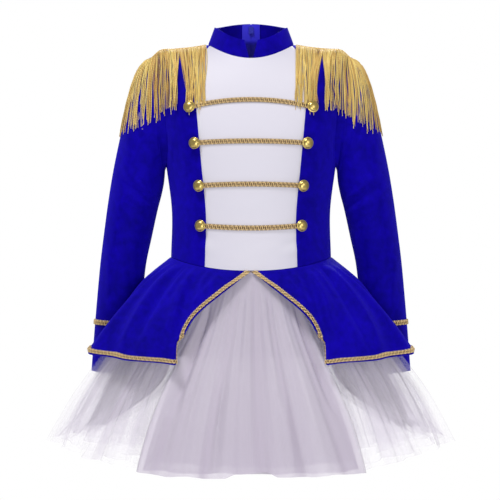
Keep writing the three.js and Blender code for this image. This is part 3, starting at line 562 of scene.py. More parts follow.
def velvet_material():
    """Royal blue stretch velvet: mottled nap in two sizes, a fine pile, a violet sheen in the shader, and a
    painted sheen that turns the base colour lighter violet at grazing angles.
    """
    made, tree, shader = new_material(
        "velvet_royal_blue", Roughness=0.7, Sheen_Weight=0.12, Sheen_Roughness=0.3,
        Sheen_Tint=linear("3a20ff"), Specular_IOR_Level=0.04,
    )
    place = coordinates(tree, "Object")
    mottled = math_of(tree, "ADD", noise(tree, place, 20.0, 4.0), noise(tree, place, 120.0, 2.0))
    nap = mix_colours(tree, ranged(tree, mottled, 0.7, 1.3), "090180", "1001a2")
    # Painted sheen: where the surface is seen at a grazing angle the base colour is mixed toward a lighter
    # violet.
    facing = node(tree, "ShaderNodeLayerWeight", {"Blend": 0.5}).outputs["Facing"]
    painted_sheen = mix_colours(tree, ranged(tree, facing, 0.15, 0.85, 0.0, 0.28), nap, "3a2cff")
    tree.links.new(painted_sheen, shader.inputs["Base Color"])
    set_bump(tree, shader, noise(tree, place, 1500.0, 1.0), 0.25, 0.0004)
    return made


def satin_material():
    """White matt stretch satin: a fine twill across its own weave."""
    made, tree, shader = new_material("satin_white", Base_Color=linear("d5d2de"), Roughness=0.55)
    turned = node(tree, "ShaderNodeMapping", {0: coordinates(tree, "UV"), 2: (0, 0, 0.6)})
    twill = node(tree, "ShaderNodeTexWave", {"Vector": turned.outputs[0], "Scale": 160.0, "Distortion": 0.6})
    set_bump(tree, shader, twill.outputs[0], 0.08, 0.0002)
    return made


def tulle_material(name, colour):
    """Soft nylon net, its cells 1.3 mm wide. An attribute says how much of it lies folded: there the net is
    less see-through and its colour is painted darker grey-lilac as shade.
    """
    made, tree, shader = new_material(name, Roughness=0.6, Sheen_Weight=0.3)
    fold_and_shade = attribute(tree, "fold_and_shade")
    cells = node(
        tree, "ShaderNodeTexVoronoi", {"Vector": coordinates(tree, "UV"), "Scale": 760.0, "Randomness": 0.6},
        voronoi_dimensions="2D", feature="DISTANCE_TO_EDGE",
    )
    # Painted shade: where the net lies thick its colour goes from near white towards the darker colour
    # given.
    tree.links.new(mix_colours(tree, fold_and_shade, "f6f0fc", colour), shader.inputs["Base Color"])
    thread = ranged(tree, cells.outputs[0], 0.05, 0.2, 0.18, 0.0)
    haze = ranged(tree, fold_and_shade, 0.0, 1.0, 0.02, 0.85)
    tree.links.new(math_of(tree, "ADD", haze, thread), shader.inputs["Alpha"])
    return made


def cord_material(name, dark, light, roughness, metallic, turns):
    """Shiny yarn: its plies are painted lighter on their ridges and darker in their grooves as shade, turns
    a metre, over a bump of the same twist, with a shade for each cord.
    """
    made, tree, shader = new_material(name, Roughness=roughness, Metallic=metallic)
    wound = math_of(tree, "MULTIPLY_ADD", attribute(tree, "along"), turns, attribute(tree, "around"))
    # Painted shade of the twist: the colour follows the plies' bump, lighter on the ridges and darker in the
    # grooves.
    ply_relief_and_shade = math_of(tree, "SINE", math_of(tree, "MULTIPLY", wound, 2 * math.pi))
    part = math_of(tree, "MULTIPLY_ADD", ply_relief_and_shade, 0.25, attribute(tree, "shade"))
    tree.links.new(mix_colours(tree, part, dark, light), shader.inputs["Base Color"])
    set_bump(tree, shader, ply_relief_and_shade, 0.5, 0.0003)
    return made


def brass_material():
    """Brass-plated button: satin, a little uneven."""
    made, tree, shader = new_material("brass_button", Metallic=1.0, Roughness=0.3)
    worn = noise(tree, coordinates(tree, "Object"), 260.0, 3.0)
    tree.links.new(mix_colours(tree, worn, "b89c4c", "e6d088"), shader.inputs["Base Color"])
    return made


VELVET = velvet_material()
SATIN = satin_material()
# Each net's second colour is painted shade where it lies thick; the layers underneath take a darker one.
TULLE_TOP = tulle_material("tulle_white", "b6abbe")
TULLE_LOW = tulle_material("tulle_white_under", "ada2b6")
# Each yarn's dark colour: the fringe's cords lean to it by their own random tone, and it is painted shade in
# the twist's grooves and, on the braid, in its ground, middle cord and second strand between the loops.
BRAID = cord_material("gimp_braid_gold", "4e2e16", "f6d69c", 0.5, 0.1, 420.0)
FRINGE = cord_material("viscose_fringe_gold", "b46a28", "ffe88e", 0.4, 0.05, 300.0)
BRASS = brass_material()
# Blue woven polyester tape and its nylon coil, and the enamelled slider and pull.
TAPE = new_material("zip_tape_blue", Base_Color=linear("2016dc"), Roughness=0.6)[0]
COIL = new_material("zip_coil_blue", Base_Color=linear("1a14c0"), Roughness=0.8)[0]
ENAMEL = new_material("zip_enamel_blue", Base_Color=linear("1e24a8"), Roughness=0.25, Metallic=0.4)[0]
# Blue polyester sewing thread.
THREAD = new_material("thread_blue", Base_Color=linear("2a1cc4"), Roughness=0.6)[0]


def bake(piece):
    """Puts what the piece's modifiers make into its mesh, and takes them off."""
    shown = piece.evaluated_get(bpy.context.evaluated_depsgraph_get())
    mesh = bpy.data.meshes.new_from_object(shown)
    piece.modifiers.clear()
    piece.data = mesh
    mesh.name = piece.name


def node_group(name, inputs):
    """An empty Geometry Nodes group with a geometry in and out and these named inputs."""
    group = bpy.data.node_groups.new(name, "GeometryNodeTree")
    group.interface.new_socket("Geometry", in_out="INPUT", socket_type="NodeSocketGeometry")
    for label, kind in inputs:
        group.interface.new_socket(label, in_out="INPUT", socket_type=kind)
    group.interface.new_socket("Geometry", in_out="OUTPUT", socket_type="NodeSocketGeometry")
    return group


def finish_group(group, geometry, material):
    real = node(group, "GeometryNodeRealizeInstances", {0: geometry})
    smooth = node(group, "GeometryNodeSetShadeSmooth", {0: real.outputs[0]})
    painted = node(group, "GeometryNodeSetMaterial", {0: smooth.outputs[0], "Material": material})
    node(group, "NodeGroupOutput", {0: painted.outputs[0]})


def cords_group():
    """Round cords along the mesh's edges, as thick as its attribute thick says."""
    group = node_group("Cords", [("Sides", "NodeSocketInt"), ("Material", "NodeSocketMaterial")])
    given = node(group, "NodeGroupInput").outputs
    lines = node(group, "GeometryNodeMeshToCurve", {0: given["Geometry"]})
    thick = node(group, "GeometryNodeInputNamedAttribute", {"Name": "thick"}, data_type="FLOAT")
    ring = node(group, "GeometryNodeCurvePrimitiveCircle", {"Resolution": given["Sides"], "Radius": 1.0})
    part = node(group, "GeometryNodeSplineParameter")
    marked = node(
        group, "GeometryNodeStoreNamedAttribute",
        {0: ring.outputs[0], "Name": "around", "Value": part.outputs["Factor"]}, data_type="FLOAT",
    )
    parts = {0: lines.outputs[0], 1: marked.outputs[0], "Scale": thick.outputs[0], "Fill Caps": True}
    tube = node(group, "GeometryNodeCurveToMesh", parts)
    finish_group(group, tube.outputs[0], given["Material"])
    return group


def repeats_group():
    """A rounded bar on each point, turned and sized by the inputs."""
    group = node_group("Repeats", [("Size", "NodeSocketVector"), ("Material", "NodeSocketMaterial")])
    given = node(group, "NodeGroupInput").outputs
    ball = node(group, "GeometryNodeMeshIcoSphere", {"Radius": 0.5, "Subdivisions": 2})
    turn = node(group, "GeometryNodeInputNamedAttribute", {"Name": "turn"}, data_type="FLOAT_VECTOR")
    parts = {"Instance": ball.outputs[0], "Rotation": turn.outputs[0], "Scale": given["Size"]}
    many = node(group, "GeometryNodeInstanceOnPoints", {0: given["Geometry"], **parts})
    finish_group(group, many.outputs[0], given["Material"])
    return group


CORDS = cords_group()
REPEATS = repeats_group()


def use_group(piece, group, values):
    """Puts a group on a piece with its inputs set by their names."""
    modifier = piece.modifiers.new(group.name, "NODES")
    modifier.node_group = group
    for item in group.interface.items_tree:
        if item.in_out == "INPUT" and item.name in values:
            modifier[item.identifier] = values[item.name]
    bake(piece)
    piece.data.materials.clear()
    piece.data.materials.append(values["Material"])


def cords(name, paths, material, sides):
    """paths: (points in mm, radius or radii in mm, shade) for each cord."""
    sizes = [len(points) for points, _, _ in paths]
    starts = np.concatenate([[0], np.cumsum(sizes)])
    points = np.concatenate([p for p, _, _ in paths]) * MM
    edges = np.concatenate([np.stack([np.arange(a, b - 1), np.arange(a + 1, b)], -1)
                            for a, b in zip(starts[:-1], starts[1:])])
    along = np.concatenate([arc_length(p) for p, _, _ in paths]) * MM
    thick = np.concatenate([np.broadcast_to(r, (n,)) for (_, r, _), n in zip(paths, sizes)]) * MM
    shade = np.repeat([s for _, _, s in paths], sizes)
    mesh = bpy.data.meshes.new(name)
    mesh.from_pydata(points.tolist(), edges.tolist(), [])
    for label, values in (("along", along), ("thick", thick), ("shade", shade)):
        layer = mesh.attributes.new(label, "FLOAT", "POINT")
        layer.data.foreach_set("value", values.astype(np.float32))
    piece = place_in_scene(name, mesh, material)
    use_group(piece, CORDS, {"Sides": sides, "Material": material})
    return piece


def repeats(name, points, along, normals, size, material):
    """A small rounded bar at each point, its length along the way: stitches and coil teeth."""
    mesh = bpy.data.meshes.new(name)
    mesh.from_pydata((points * MM).tolist(), [], [])
    side = unit(np.cross(normals, along))
    up = np.cross(along, side)
    turns = []
    for a, s, n in zip(along, side, up):
        turns.extend(Matrix((a, s, n)).transposed().to_euler())
    layer = mesh.attributes.new("turn", "FLOAT_VECTOR", "POINT")
    layer.data.foreach_set("vector", turns)
    piece = place_in_scene(name, mesh, material)
    use_group(piece, REPEATS, {"Size": tuple(s * MM for s in size), "Material": material})
    return piece


class Strip:
    """A narrow path on the cloth: its middle, the way across and its normal by arc length."""

    def __init__(self, middle, across, normal):
        self.arc = arc_length(middle)
        self.length = self.arc[-1]
        self.parts = (middle, across, normal)

    def at(self, s):
        return [np.stack([np.interp(s, self.arc, part[:, k]) for k in range(3)], -1) for part in self.parts]

    def point(self, s, w, h):
        middle, across, normal = self.at(s)
        return middle + across * np.asarray(w)[..., None] + normal * np.asarray(h)[..., None]


def braid(name, strip, width=7.2):
    """Gimp braid: two strands that loop across each other, a cord down the middle and a ground; the second
    strand, the middle cord and the ground are painted darker as shade between the loops.
    """
    half = width / 2 - STRAND_RADIUS
    s = np.arange(0, strip.length, GIMP_PITCH / 10)
    turn = 2 * math.pi * s / GIMP_PITCH
    paths = []
    # The second strand is painted darker, as shade where the loops cross.
    for phase, shade in ((0, 0.95), (math.pi, 0.5)):
        wave = half * np.sin(turn + phase)
        height = 0.8 + 0.3 * np.cos(turn + phase)
        paths.append((strip.point(s, wave, height), STRAND_RADIUS, shade))
    # The middle cord is painted dark, as shade between the loops.
    s = np.arange(0, strip.length, GIMP_PITCH / 3)
    paths.append((strip.point(s, 0 * s, 1.0 + 0 * s), 0.4, 0.1))
    piece = cords(name, paths, BRAID, 5)
    # The ground has no shade value, so it takes the dark colour: painted shade under the loops.
    s = np.linspace(0, strip.length, max(8, int(strip.length / 4)))
    ground = np.stack([strip.point(s, w + 0 * s, 0.3 + 0 * s) for w in (-half, half)], axis=1)
    join(piece, grid_mesh(name + "_ground", [ground], False, False, surface_uv(ground, False)))
    return piece


def join(piece, mesh):
    """Adds a mesh to a piece's own."""
    both = bmesh.new()
    both.from_mesh(piece.data)
    both.from_mesh(mesh)
    both.to_mesh(piece.data)
    both.free()
    bpy.data.meshes.remove(mesh)


def absorb(piece, other):
    """Adds another piece's mesh to a piece's own and takes the other out of the scene."""
    join(piece, other.data.copy())
    bpy.data.objects.remove(other)


def fan(left, right, count):
    """Even places from left to right on each row."""
    return left[:, None] + (right - left)[:, None] * np.linspace(0, 1, count)[None, :]


def grid(u, v):
    return np.broadcast_arrays(u, np.asarray(v)[:, None])


def dress_piece(piece, slot, *nodes):
    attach(piece, "dress")
    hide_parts(*nodes)


# Bodice: the rows bunch where the armhole turns.
armhole_rows = ARMHOLE_RING - np.cos(np.linspace(0, math.pi, 70))
body_rows = (np.linspace(0, armhole_rows[0], 28), armhole_rows[1:], np.linspace(armhole_rows[-1], 6, 40)[1:])
body_rows = np.concatenate(body_rows)
body_width = column(BODY["width"], body_rows)
body_power = column(BODY["power"], body_rows)
seam = np.degrees(SEAM_GAP / 2 / body_width)
panel = np.degrees(np.arcsin((column(BODY["panel"], body_rows) / body_width) ** (body_power / 2)))
# Below the zip's end the backs meet in a seam.
slot = ZIP_SLOT_HALF + (SEAM_GAP / 2 - ZIP_SLOT_HALF) * smooth_step(5.18, 5.26, body_rows)
zip_edge = 180 - np.degrees(np.arcsin((slot / body_width) ** (body_power / 2)))
# The seam allowance, in degrees, runs on under the sleeve's head.
ALLOWANCE = 3
front_side = 90 - np.maximum(0, armhole_angle(body_rows, ARMHOLE_FRONT) - ALLOWANCE) - seam
back_side = 90 + np.maximum(0, armhole_angle(body_rows, ARMHOLE_BACK) - ALLOWANCE) + seam

cloth("front_panel", body_surface, *grid(fan(seam - panel, panel - seam, 60), body_rows), SATIN)
for hand, right in HANDS:
    sign = -1 if right else 1
    relief = Surface(body_point, lambda a, t, k=sign: body_relief(k * a, t), *STEPS)
    u, v = grid(fan(panel + seam, front_side, 34), body_rows)
    cloth("side_front_" + hand, relief, u, v, VELVET, right)
    u, v = grid(fan(back_side, zip_edge, 50), body_rows)
    cloth("back_" + hand, relief, u, v, VELVET, right)

    u, v = grid(np.linspace(0, 360, 121)[None, :-1], np.linspace(0, 11, 170))
    cloth("sleeve_" + hand, sleeve_surfaces[hand], u, v, VELVET, right, closed=True, rolled="t")

    collar_rows = np.linspace(0, 1, 14)
    collar_width = column(COLLAR["width"], collar_rows)
    notch = np.degrees(np.arcsin(column(COLLAR["notch"], collar_rows) / collar_width))
    back = 180 - np.degrees(np.arcsin(ZIP_SLOT_HALF / collar_width))
    u, v = grid(fan(notch, back, 90), collar_rows)
    cloth("collar_" + hand, collar_surface, u, v, VELVET, right, rolled="b")

    # Closer columns at the curled front edge and at the seam behind.
    spans = (np.linspace(0, 0.04, 19), np.linspace(0.04, 0.987, 186)[1:], np.linspace(0.987, 1, 10)[1:])
    u, v = grid(np.concatenate(spans)[None, :], np.linspace(0, 4, 60))
    cloth("peplum_" + hand, peplum_surface, u, v, VELVET, right, rolled="tr")

for name, piece in made.items():
    dress_piece(piece, "satin" if name == "front_panel" else "velvet", name)


# Tulle: three layers of net, each gathered on its own; flutes and depth are their largest waves.
TULLE_LAYERS = (
    {"name": "tulle_outer", "node": "tulle_outer", "inset": 0, "seed": 0.0, "depth": 6.5, "length": 1.0,
     "flutes": 36, "material": TULLE_TOP},
    {"name": "tulle_middle", "node": "tulle_outer", "inset": 8, "seed": 1.7, "depth": 6.0, "length": 0.985,
     "flutes": 31, "material": TULLE_LOW},
    {"name": "tulle_under", "node": "tulle_under", "inset": 16, "seed": 4.1, "depth": 5.0, "length": 0.95,
     "flutes": 27, "material": TULLE_LOW},
)
# Folds of the outer layer, scaled as on the sleeves.
TULLE_SCALE = (4, 60)
TULLE_CREASES = (
    (-28, 120, -28, 238, 4, 4.0), (32, 150, 33, 238, 4, 4.0),
    (-84, 40, -85, 175, 6, -8.0), (92, 40, 90, 175, 6, -8.0),
    (-52, 10, -58, 236, 9, 3.5), (56, 6, 66, 236, 9, 3.5),
    (8, 60, 2, 236, 10, -3.0), (-4, 8, -8, 120, 6, 3.0),
    (20, 8, 22, 130, 6, 3.0), (-104, 120, -106, 240, 5, 4.0),
    (108, 120, 110, 240, 5, 4.0), (-150, 100, -160, 240, 9, 7.0),
    (-186, 110, -204, 240, 9, -7.0), (-236, 90, -256, 240, 10, 8.0),
    (-292, 120, -310, 240, 9, -7.0), (146, 100, 158, 240, 9, 7.0),
    (190, 110, 206, 240, 9, -7.0), (232, 90, 250, 240, 10, 8.0),
    (296, 120, 312, 240, 9, -7.0), (-520, 60, -540, 240, 10, 7.0),
    (528, 50, 546, 240, 10, 7.0), (-610, 70, -624, 240, 9, -6.0),
    (604, 70, 626, 240, 9, -6.0), (-676, 40, -690, 240, 10, 6.0),
    (660, 50, 684, 240, 10, 6.0), (-470, 90, -486, 240, 9, -6.0),
    (466, 90, 480, 240, 9, -6.0),
)


def full_share(angle):
    """1 in the skirt's full front and 0 round the rest."""
    return 1 - smooth_step(25, 30, np.abs(angle))


def tulle_wave(layer, angle, t):
    """The gathers' height in mm: uneven flutes, a finer crinkle and the listed folds."""
    a = np.radians(angle)
    seed = layer["seed"]
    down = np.maximum(0, t / 4)
    bent = a + 0.05 * np.sin(3 * a + seed) + 0.03 * np.sin(7 * a + 2 * seed)
    bent = bent + 0.02 * np.sin(2 * a + 3 * down + seed)
    height = layer["depth"] * (0.6 + 0.4 * np.sin(5 * a + 1.3 + seed)) * down ** 0.85
    wave = height * np.cos(layer["flutes"] * bent)
    wave += 1.5 * np.minimum(1, 3 * down) * np.sin(3 * layer["flutes"] * bent + 4 * np.sin(4 * a + seed))
    wave = wave * (1 - 0.6 * full_share(angle))
    if layer["inset"] == 0:
        wave = wave + creased(angle * TULLE_SCALE[0], t * TULLE_SCALE[1], TULLE_CREASES)
    return wave * (1 - 0.6 * valley_share(angle)) * np.minimum(1, 6 * down)


def tulle_point(layer, angle, t):
    a = np.radians(angle)
    seed = layer["seed"]
    down = np.maximum(0, t / 4)
    bulge = column(TULLE["bulge"], t) * full_share(angle)
    inset = (1.8 if layer["inset"] else 0) + layer["inset"] * (down ** 0.7 + down * valley_share(angle))
    out = tulle_wave(layer, angle, t) + bulge - inset - TULLE_TRIM * down
    point = skirt_point(TULLE, angle, t * layer["length"], out)
    notch = 1 - smooth_step(2.5, 5, np.abs(angle))
    ragged = 0.9 * np.sin(9 * a + seed) + 0.7 * np.sin(23 * a + 2 * seed) + 0.5 * np.sin(47 * a)
    lower = 2 + 4.5 * np.sin(2 * a) ** 2
    point[..., 2] += (6 * notch * (layer["inset"] == 0) + ragged - lower) * down ** 4
    return point


# Bands where the net lies folded or bare, and so is painted darker or lighter as shade: angle at the waist
# and at the hem, width, share added.
TULLE_BANDS = (
    (-32, -36, 4, -0.08), (-40, -45, 5, 0.2), (-51, -57, 4, -0.12), (-60, -66, 3, 0.16),
    (-69, -74, 3, -0.12), (-77, -82, 3, 0.12), (32, 35, 4, -0.08), (39, 45, 5, 0.2), (50, 56, 4, -0.12),
    (59, 64, 3, 0.16), (68, 72, 3, -0.12), (78, 82, 3, 0.12), (-19, -22, 2.5, 0.12), (21, 24, 2.5, 0.12),
    (-7, -9, 1.2, 0.14), (8, 10, 1.2, 0.14), (0, -1, 5, 0.08), (14, 15, 2, -0.08),
)


def tulle_fold_and_shade(layer, angle, t):
    """How folded the net lies, and so how see-through it is and how dark its painted shade: most in the full
    front, more so lower down there, and at the waist, in bands and streaks down it.
    """
    a = np.radians(angle)
    seed = layer["seed"]
    down = t / 4
    middle = 1 - smooth_step(25, 29, np.abs(angle))
    total = 0.1 + 0.64 * middle * (0.56 + 0.47 * down) + 0.12 * (1 - down) ** 2
    for times, part in ((13, 0.05), (22, 0.06), (37, 0.06), (61, 0.05), (97, 0.05)):
        drift = 0.9 * np.sin(times * 0.7 + seed)
        total = total + part * np.sin(times * a + times * seed + drift * down) * (1 - 0.5 * middle)
    if layer["inset"] < 10:
        for top, low, width, part in TULLE_BANDS:
            off = (angle - top - (low - top) * down) / width
            total = total + part * np.exp(-off * off)
    return np.clip(total, 0, 1)


for layer in TULLE_LAYERS:
    rows = 4 * np.linspace(0, 1, TULLE_ROWS) ** 0.9
    u, v = grid(np.linspace(-180, 180, TULLE_SPANS + 1)[None, :-1], rows)
    points = tulle_point(layer, u, v)
    # The cloth is even in the hem's width, so the gathers take up its cells towards the waist.
    across = np.linspace(-0.9, 0.9, TULLE_SPANS + 1)[None, :]
    flat = np.stack(np.broadcast_arrays(across, np.linspace(0, 0.29, TULLE_ROWS)[:, None]), -1)
    mesh = grid_mesh(layer["name"], [points], True, False, flat)
    # Stored per point: how thick the net lies, which also paints it darker there as shade.
    fold_and_shade = mesh.attributes.new("fold_and_shade", "FLOAT", "POINT")
    fold_and_shade.data.foreach_set("value", tulle_fold_and_shade(layer, u, v).ravel().astype(np.float32))
    piece = place_in_scene(layer["name"], mesh, layer["material"])
    dress_piece(piece, "tulle", layer["node"])
    made[layer["name"]] = piece


def place_on_front(x, z):
    """The angle and ring of the bodice's front at these x and z."""
    angle = np.zeros(x.shape)
    t = np.full(x.shape, 3.0)
    for _ in range(40):
        here = body_point(angle, t)[..., 2]
        per_ring = (body_point(angle, t + 0.01)[..., 2] - here) / 0.01
        t = np.clip(t + (z - here) / per_ring, 0, 5.95)
        ratio = np.minimum(np.abs(x) / column(BODY["width"], t), 0.999)
        angle = np.sign(x) * np.degrees(np.arcsin(ratio ** (column(BODY["power"], t) / 2)))
    return angle, t


def strip_between(upper, lower, normal):
    return Strip((upper + lower) / 2, unit(lower - upper), normal)


# Braid rows and their buttons.
for i, row in enumerate(BRAID_ROWS):
    name = f"braid_row_{i + 1}"
    x = np.linspace(-row["half"], row["half"], 90)
    z = row["mid"] + (row["end"] - row["mid"]) * (x / row["half"]) ** 2
    edges = [body_surface.place(*place_on_front(x, z + w), BRAID_LIFT) for w in (4, -4)]
    piece = braid(name, strip_between(edges[0][0], edges[1][0], edges[0][1]))
    dress_piece(piece, "gold_braid", name)


def button_mesh(name, seat, normal):
    """A domed button with a turned rim on a short shank."""
    dome = np.linspace(0, math.pi / 2, 9)
    rounded = np.stack([6.3 * np.cos(dome), 3.1 + 3.4 * np.sin(dome)], -1)
    back = [(0, 0), (1.8, 0), (1.8, 1.5), (6.2, 1.45), (7.0, 1.6), (7.4, 1.95), (7.5, 2.4), (7.35, 2.85),
            (6.95, 3.05), (6.6, 2.95)]
    profile = np.concatenate([back, rounded])
    turn = np.linspace(0, 2 * math.pi, 37)[None, :-1]
    radius = profile[:, :1]
    side = unit(np.cross(normal, [0, 0, 1.0]))
    up = np.cross(side, normal)
    ring = (radius * np.cos(turn))[..., None] * side + (radius * np.sin(turn))[..., None] * up
    points = seat + ring + (profile[:, 1:] * np.ones_like(turn))[..., None] * normal
    return grid_mesh(name, [points], True, False, surface_uv(points, True))


for i, row in enumerate(BRAID_ROWS):
    for hand, sign in (("left", 1), ("right", -1)):
        name = f"button_{i + 1}_{hand}"
        at = place_on_front(np.array([sign * row["half"]]), np.array([row["end"]]))
        seat, normal = body_surface.place(*at, 2.1)
        piece = place_in_scene(name, button_mesh(name, seat[0], normal[0]), BRASS)
        dress_piece(piece, "button_metal", name)


class HemStrip:
    """The braid's way down a peplum half's front edge and along its hem, on the creased cloth itself."""

    def __init__(self, right):
        self.right = right
        self.part = np.linspace(0, 2, 900)
        self.arc = arc_length(self.on_cloth(self.part, 0 * self.part, 0 * self.part))
        self.length = self.arc[-1]

    def on_cloth(self, part, w, h):
        """Parts 0 to 1 run down the front edge, 1 to 2 along the hem; w is across and h up."""
        inset = BRAID_INSET + w
        low = 4 - 4 * inset / PEPLUM_DROP
        t = np.where(part <= 1, 0.05 + (low - 0.05) * part, low)
        # At the waist the two halves' braids start close together.
        over = 0.013 * np.maximum(0, 1 - part / 0.16)
        u = np.where(
            part <= 1, inset / peplum_length(t) - over, np.maximum(inset / peplum_length(4), part - 1),
        )
        points = peplum_surface.place(u, t, h + 0.3)[0]
        return mirrored(points) if self.right else points

    def point(self, s, w, h):
        return self.on_cloth(np.interp(s, self.arc, self.part), w + 0 * s, h + 0 * s)


# Cuff and peplum braids.
for hand, right in HANDS:
    turns = np.linspace(180, 540, 120)
    upper, normal = sleeve_surfaces[hand].place(turns, 9.55, 0.35)
    lower, _ = sleeve_surfaces[hand].place(turns, 9.72, 0.35)
    sides = [mirrored(part) if right else part for part in (upper, lower, normal)]
    piece = braid("cuff_braid_" + hand, strip_between(*sides))
    dress_piece(piece, "gold_braid", "cuff_braid_" + hand)

    piece = braid("peplum_braid_" + hand, HemStrip(right), 6.6)
    dress_piece(piece, "gold_braid", "peplum_braid_" + hand)


def curve_through(points, count):
    """Even points of a centripetal curve through points."""
    p = np.concatenate([[2 * points[0] - points[1]], points, [2 * points[-1] - points[-2]]])
    fine = []
    f = np.linspace(0, 1, 40)[:, None]
    for p0, p1, p2, p3 in zip(p[:-3], p[1:-2], p[2:-1], p[3:]):
        d0, d1, d2 = (max(np.linalg.norm(b - a) ** 0.5, 1e-4) for a, b in ((p0, p1), (p1, p2), (p2, p3)))
        m1 = ((p1 - p0) / d0 - (p2 - p0) / (d0 + d1) + (p2 - p1) / d1) * d1
        m2 = ((p2 - p1) / d1 - (p3 - p1) / (d1 + d2) + (p3 - p2) / d2) * d1
        fine.append((2 * f**3 - 3 * f**2 + 1) * p1 + (f**3 - 2 * f**2 + f) * m1
                    + (3 * f**2 - 2 * f**3) * p2 + (f**3 - f**2) * m2)
    fine = np.concatenate(fine)
    arc = arc_length(fine)
    s = np.linspace(0, arc[-1], count)
    return np.stack([np.interp(s, arc, fine[:, k]) for k in range(3)], -1)


FRINGE_CORDS = 330
FRINGE_PART = 0.185
FRINGE_CLUMPS = 44
CORD_POINTS = 15
HEADING_POINTS = 160


def heading():
    """The fringe's heading, from the neck in front over the sleeve head to the neck behind."""
    parts = (
        (body_point, 1, (77, 0.12), (79, 0.7), (80, 1.3), (80.5, 1.8)),
        (sleeve_point, -1, (17, 0.5), (11, 1.1), (0, 1.35), (-11, 1.1), (-17, 0.5)),
        (body_point, 1, (99.5, 1.8), (100, 1.3), (101, 0.7), (103, 0.12)),
    )
    points = []
    normals = []
    for form, turn, *places in parts:
        u, v = np.array(places, float).T
        normal = normal_of(form, u, v, *STEPS, turn)
        points.append(form(u, v) + normal * 0.1)
        normals.append(normal)
    middle = curve_through(np.concatenate(points), HEADING_POINTS)
    normal = unit(curve_through(np.concatenate(normals), HEADING_POINTS))
    tangent = unit(np.gradient(middle, axis=0))
    return Strip(middle, unit(np.cross(tangent, normal)), normal), tangent


def cloth_under_fringe():
    body = body_point(*grid(np.linspace(20, 160, 71)[None, :], np.linspace(0, 3.4, 69)))
    sleeve = sleeve_point(*grid(np.linspace(0, 357, 120)[None, :], np.linspace(0, 5, 61)))
    return np.concatenate([body.reshape(-1, 3), sleeve.reshape(-1, 3)])


def hanging_cord(root, direction, cloth_points, standoff, length):
    """A cord from its root: at each height it stands out as far as the cloth there or above it."""
    across = np.array([-direction[1], direction[0]])
    flat = cloth_points[:, :2] - root[:2]
    near = np.abs(flat @ across) < 4.5
    reach = flat[near] @ direction
    height = cloth_points[near, 2]
    out = 0.0
    used = 0.0
    last = root
    points = [root]
    while used < length:
        z = last[2] - 4
        level = (height > z - 1.5) & (height < z + 4.5)
        if level.any():
            out = max(out, reach[level].max() + standoff)
        last = np.array([root[0] + direction[0] * out, root[1] + direction[1] * out, z])
        used += np.linalg.norm(last - points[-1])
        points.append(last)
    return curve_through(np.array(points), CORD_POINTS)


def fringe(name, right, seed):
    """Twisted cords hanging from the heading; they part in front, and no two are quite alike."""
    random = np.random.RandomState(seed)
    strip, tangents = heading()
    cloth_points = cloth_under_fringe()
    share = np.linspace(0, 1, CORD_POINTS)
    clump_pull = random.uniform(0.15, 0.85, FRINGE_CLUMPS)
    paths = []
    for i in range(FRINGE_CORDS):
        at = (i + random.uniform(0.1, 0.9)) / FRINGE_CORDS
        layer = i % 3
        inner = 1 - smooth_step(0.14, 0.26, at)
        length = (FRINGE_LENGTH + 9 * inner) * random.uniform(0.87, 1.0)
        length = length * (1 if random.rand() > 0.07 else 1.06)
        sway = random.normal(0, 2.3) * min(1, 0.2 + abs(at - FRINGE_PART) / 0.05)
        wobble = random.normal(0, 1.1)
        phase = random.uniform(0, 6.3)
        tone = 0.68 + 0.08 * math.sin(40 * at + seed) + random.uniform(-0.32, 0.32)
        off = at - FRINGE_PART
        root = strip.point(at * strip.length, random.uniform(-2.0, 2.0), 0.3 + 0.25 * layer)
        along = tangents[int(at * (HEADING_POINTS - 1))]
        direction = unit(np.array([along[1], -along[0]]))
        path = hanging_cord(root, direction, cloth_points, 0.5 + 0.6 * layer, length)
        side = np.array([along[0], along[1], 0]) / max(1e-6, math.hypot(along[0], along[1]))
        clump = int(at * FRINGE_CLUMPS)
        pull = ((clump + 0.5) / FRINGE_CLUMPS - at) * strip.length * clump_pull[clump]
        parted = math.copysign(7.5 * max(0, 1 - abs(off) / 0.055), off)
        lateral = sway * share ** 1.4 + pull * share ** 1.6 + parted * smooth_step(0.12, 1, share)
        lateral = lateral + wobble * np.sin(phase + 6 * share) * share
        path = path + side * lateral[:, None]
        radius = random.uniform(0.44, 0.56) * (1 - 0.25 * share ** 3)
        paths.append((mirrored(path) if right else path, radius, tone))
    piece = cords(name, paths, FRINGE, 4)
    top = Strip(*(mirrored(part) if right else part for part in strip.parts))
    absorb(piece, braid(name + "_heading", top, 5.6))
    return piece


for hand, right, seed in (("left", False, 11), ("right", True, 23)):
    piece = fringe("fringe_" + hand, right, seed)
    dress_piece(piece, "gold_fringe", "fringe_" + hand)


def zip_form(across, v):
    """Beside the centre back: v runs 0 to 1 down the collar, then on by the body's rings."""
    across, v = np.broadcast_arrays(np.asarray(across, float), np.asarray(v, float))
    top = np.clip(v, 0, 1)
    low = np.clip(v - 1, 0, 6)
    collar_ratio = across / column(COLLAR["width"], top)
    body_ratio = (across / column(BODY["width"], low)) ** (column(BODY["power"], low) / 2)
    on_collar = collar_point(180 - np.degrees(np.arcsin(collar_ratio)), top)
    on_body = body_point(180 - np.degrees(np.arcsin(body_ratio)), low)
    return np.where((v < 1)[..., None], on_collar, on_body)


zip_surface = Surface(zip_form, no_relief, -0.05, 0.004)
tape_rows = np.concatenate([np.linspace(0.02, 0.97, 12), np.linspace(1.03, 6.25, 90)])
for hand, right in HANDS:
    name = "zip_tape_" + hand
    u, v = grid(np.linspace(12, 0.15, 6)[None, :], tape_rows)
    points, normal = zip_surface.place(u, v, -2.45)
    sheets = [points, points - normal * 0.7]
    if right:
        sheets = [mirrored(s) for s in sheets]
    piece = place_in_scene(name, grid_mesh(name, sheets, False, right, surface_uv(points, False)), TAPE)
    dress_piece(piece, "zip_tape", name)
    made[name] = piece

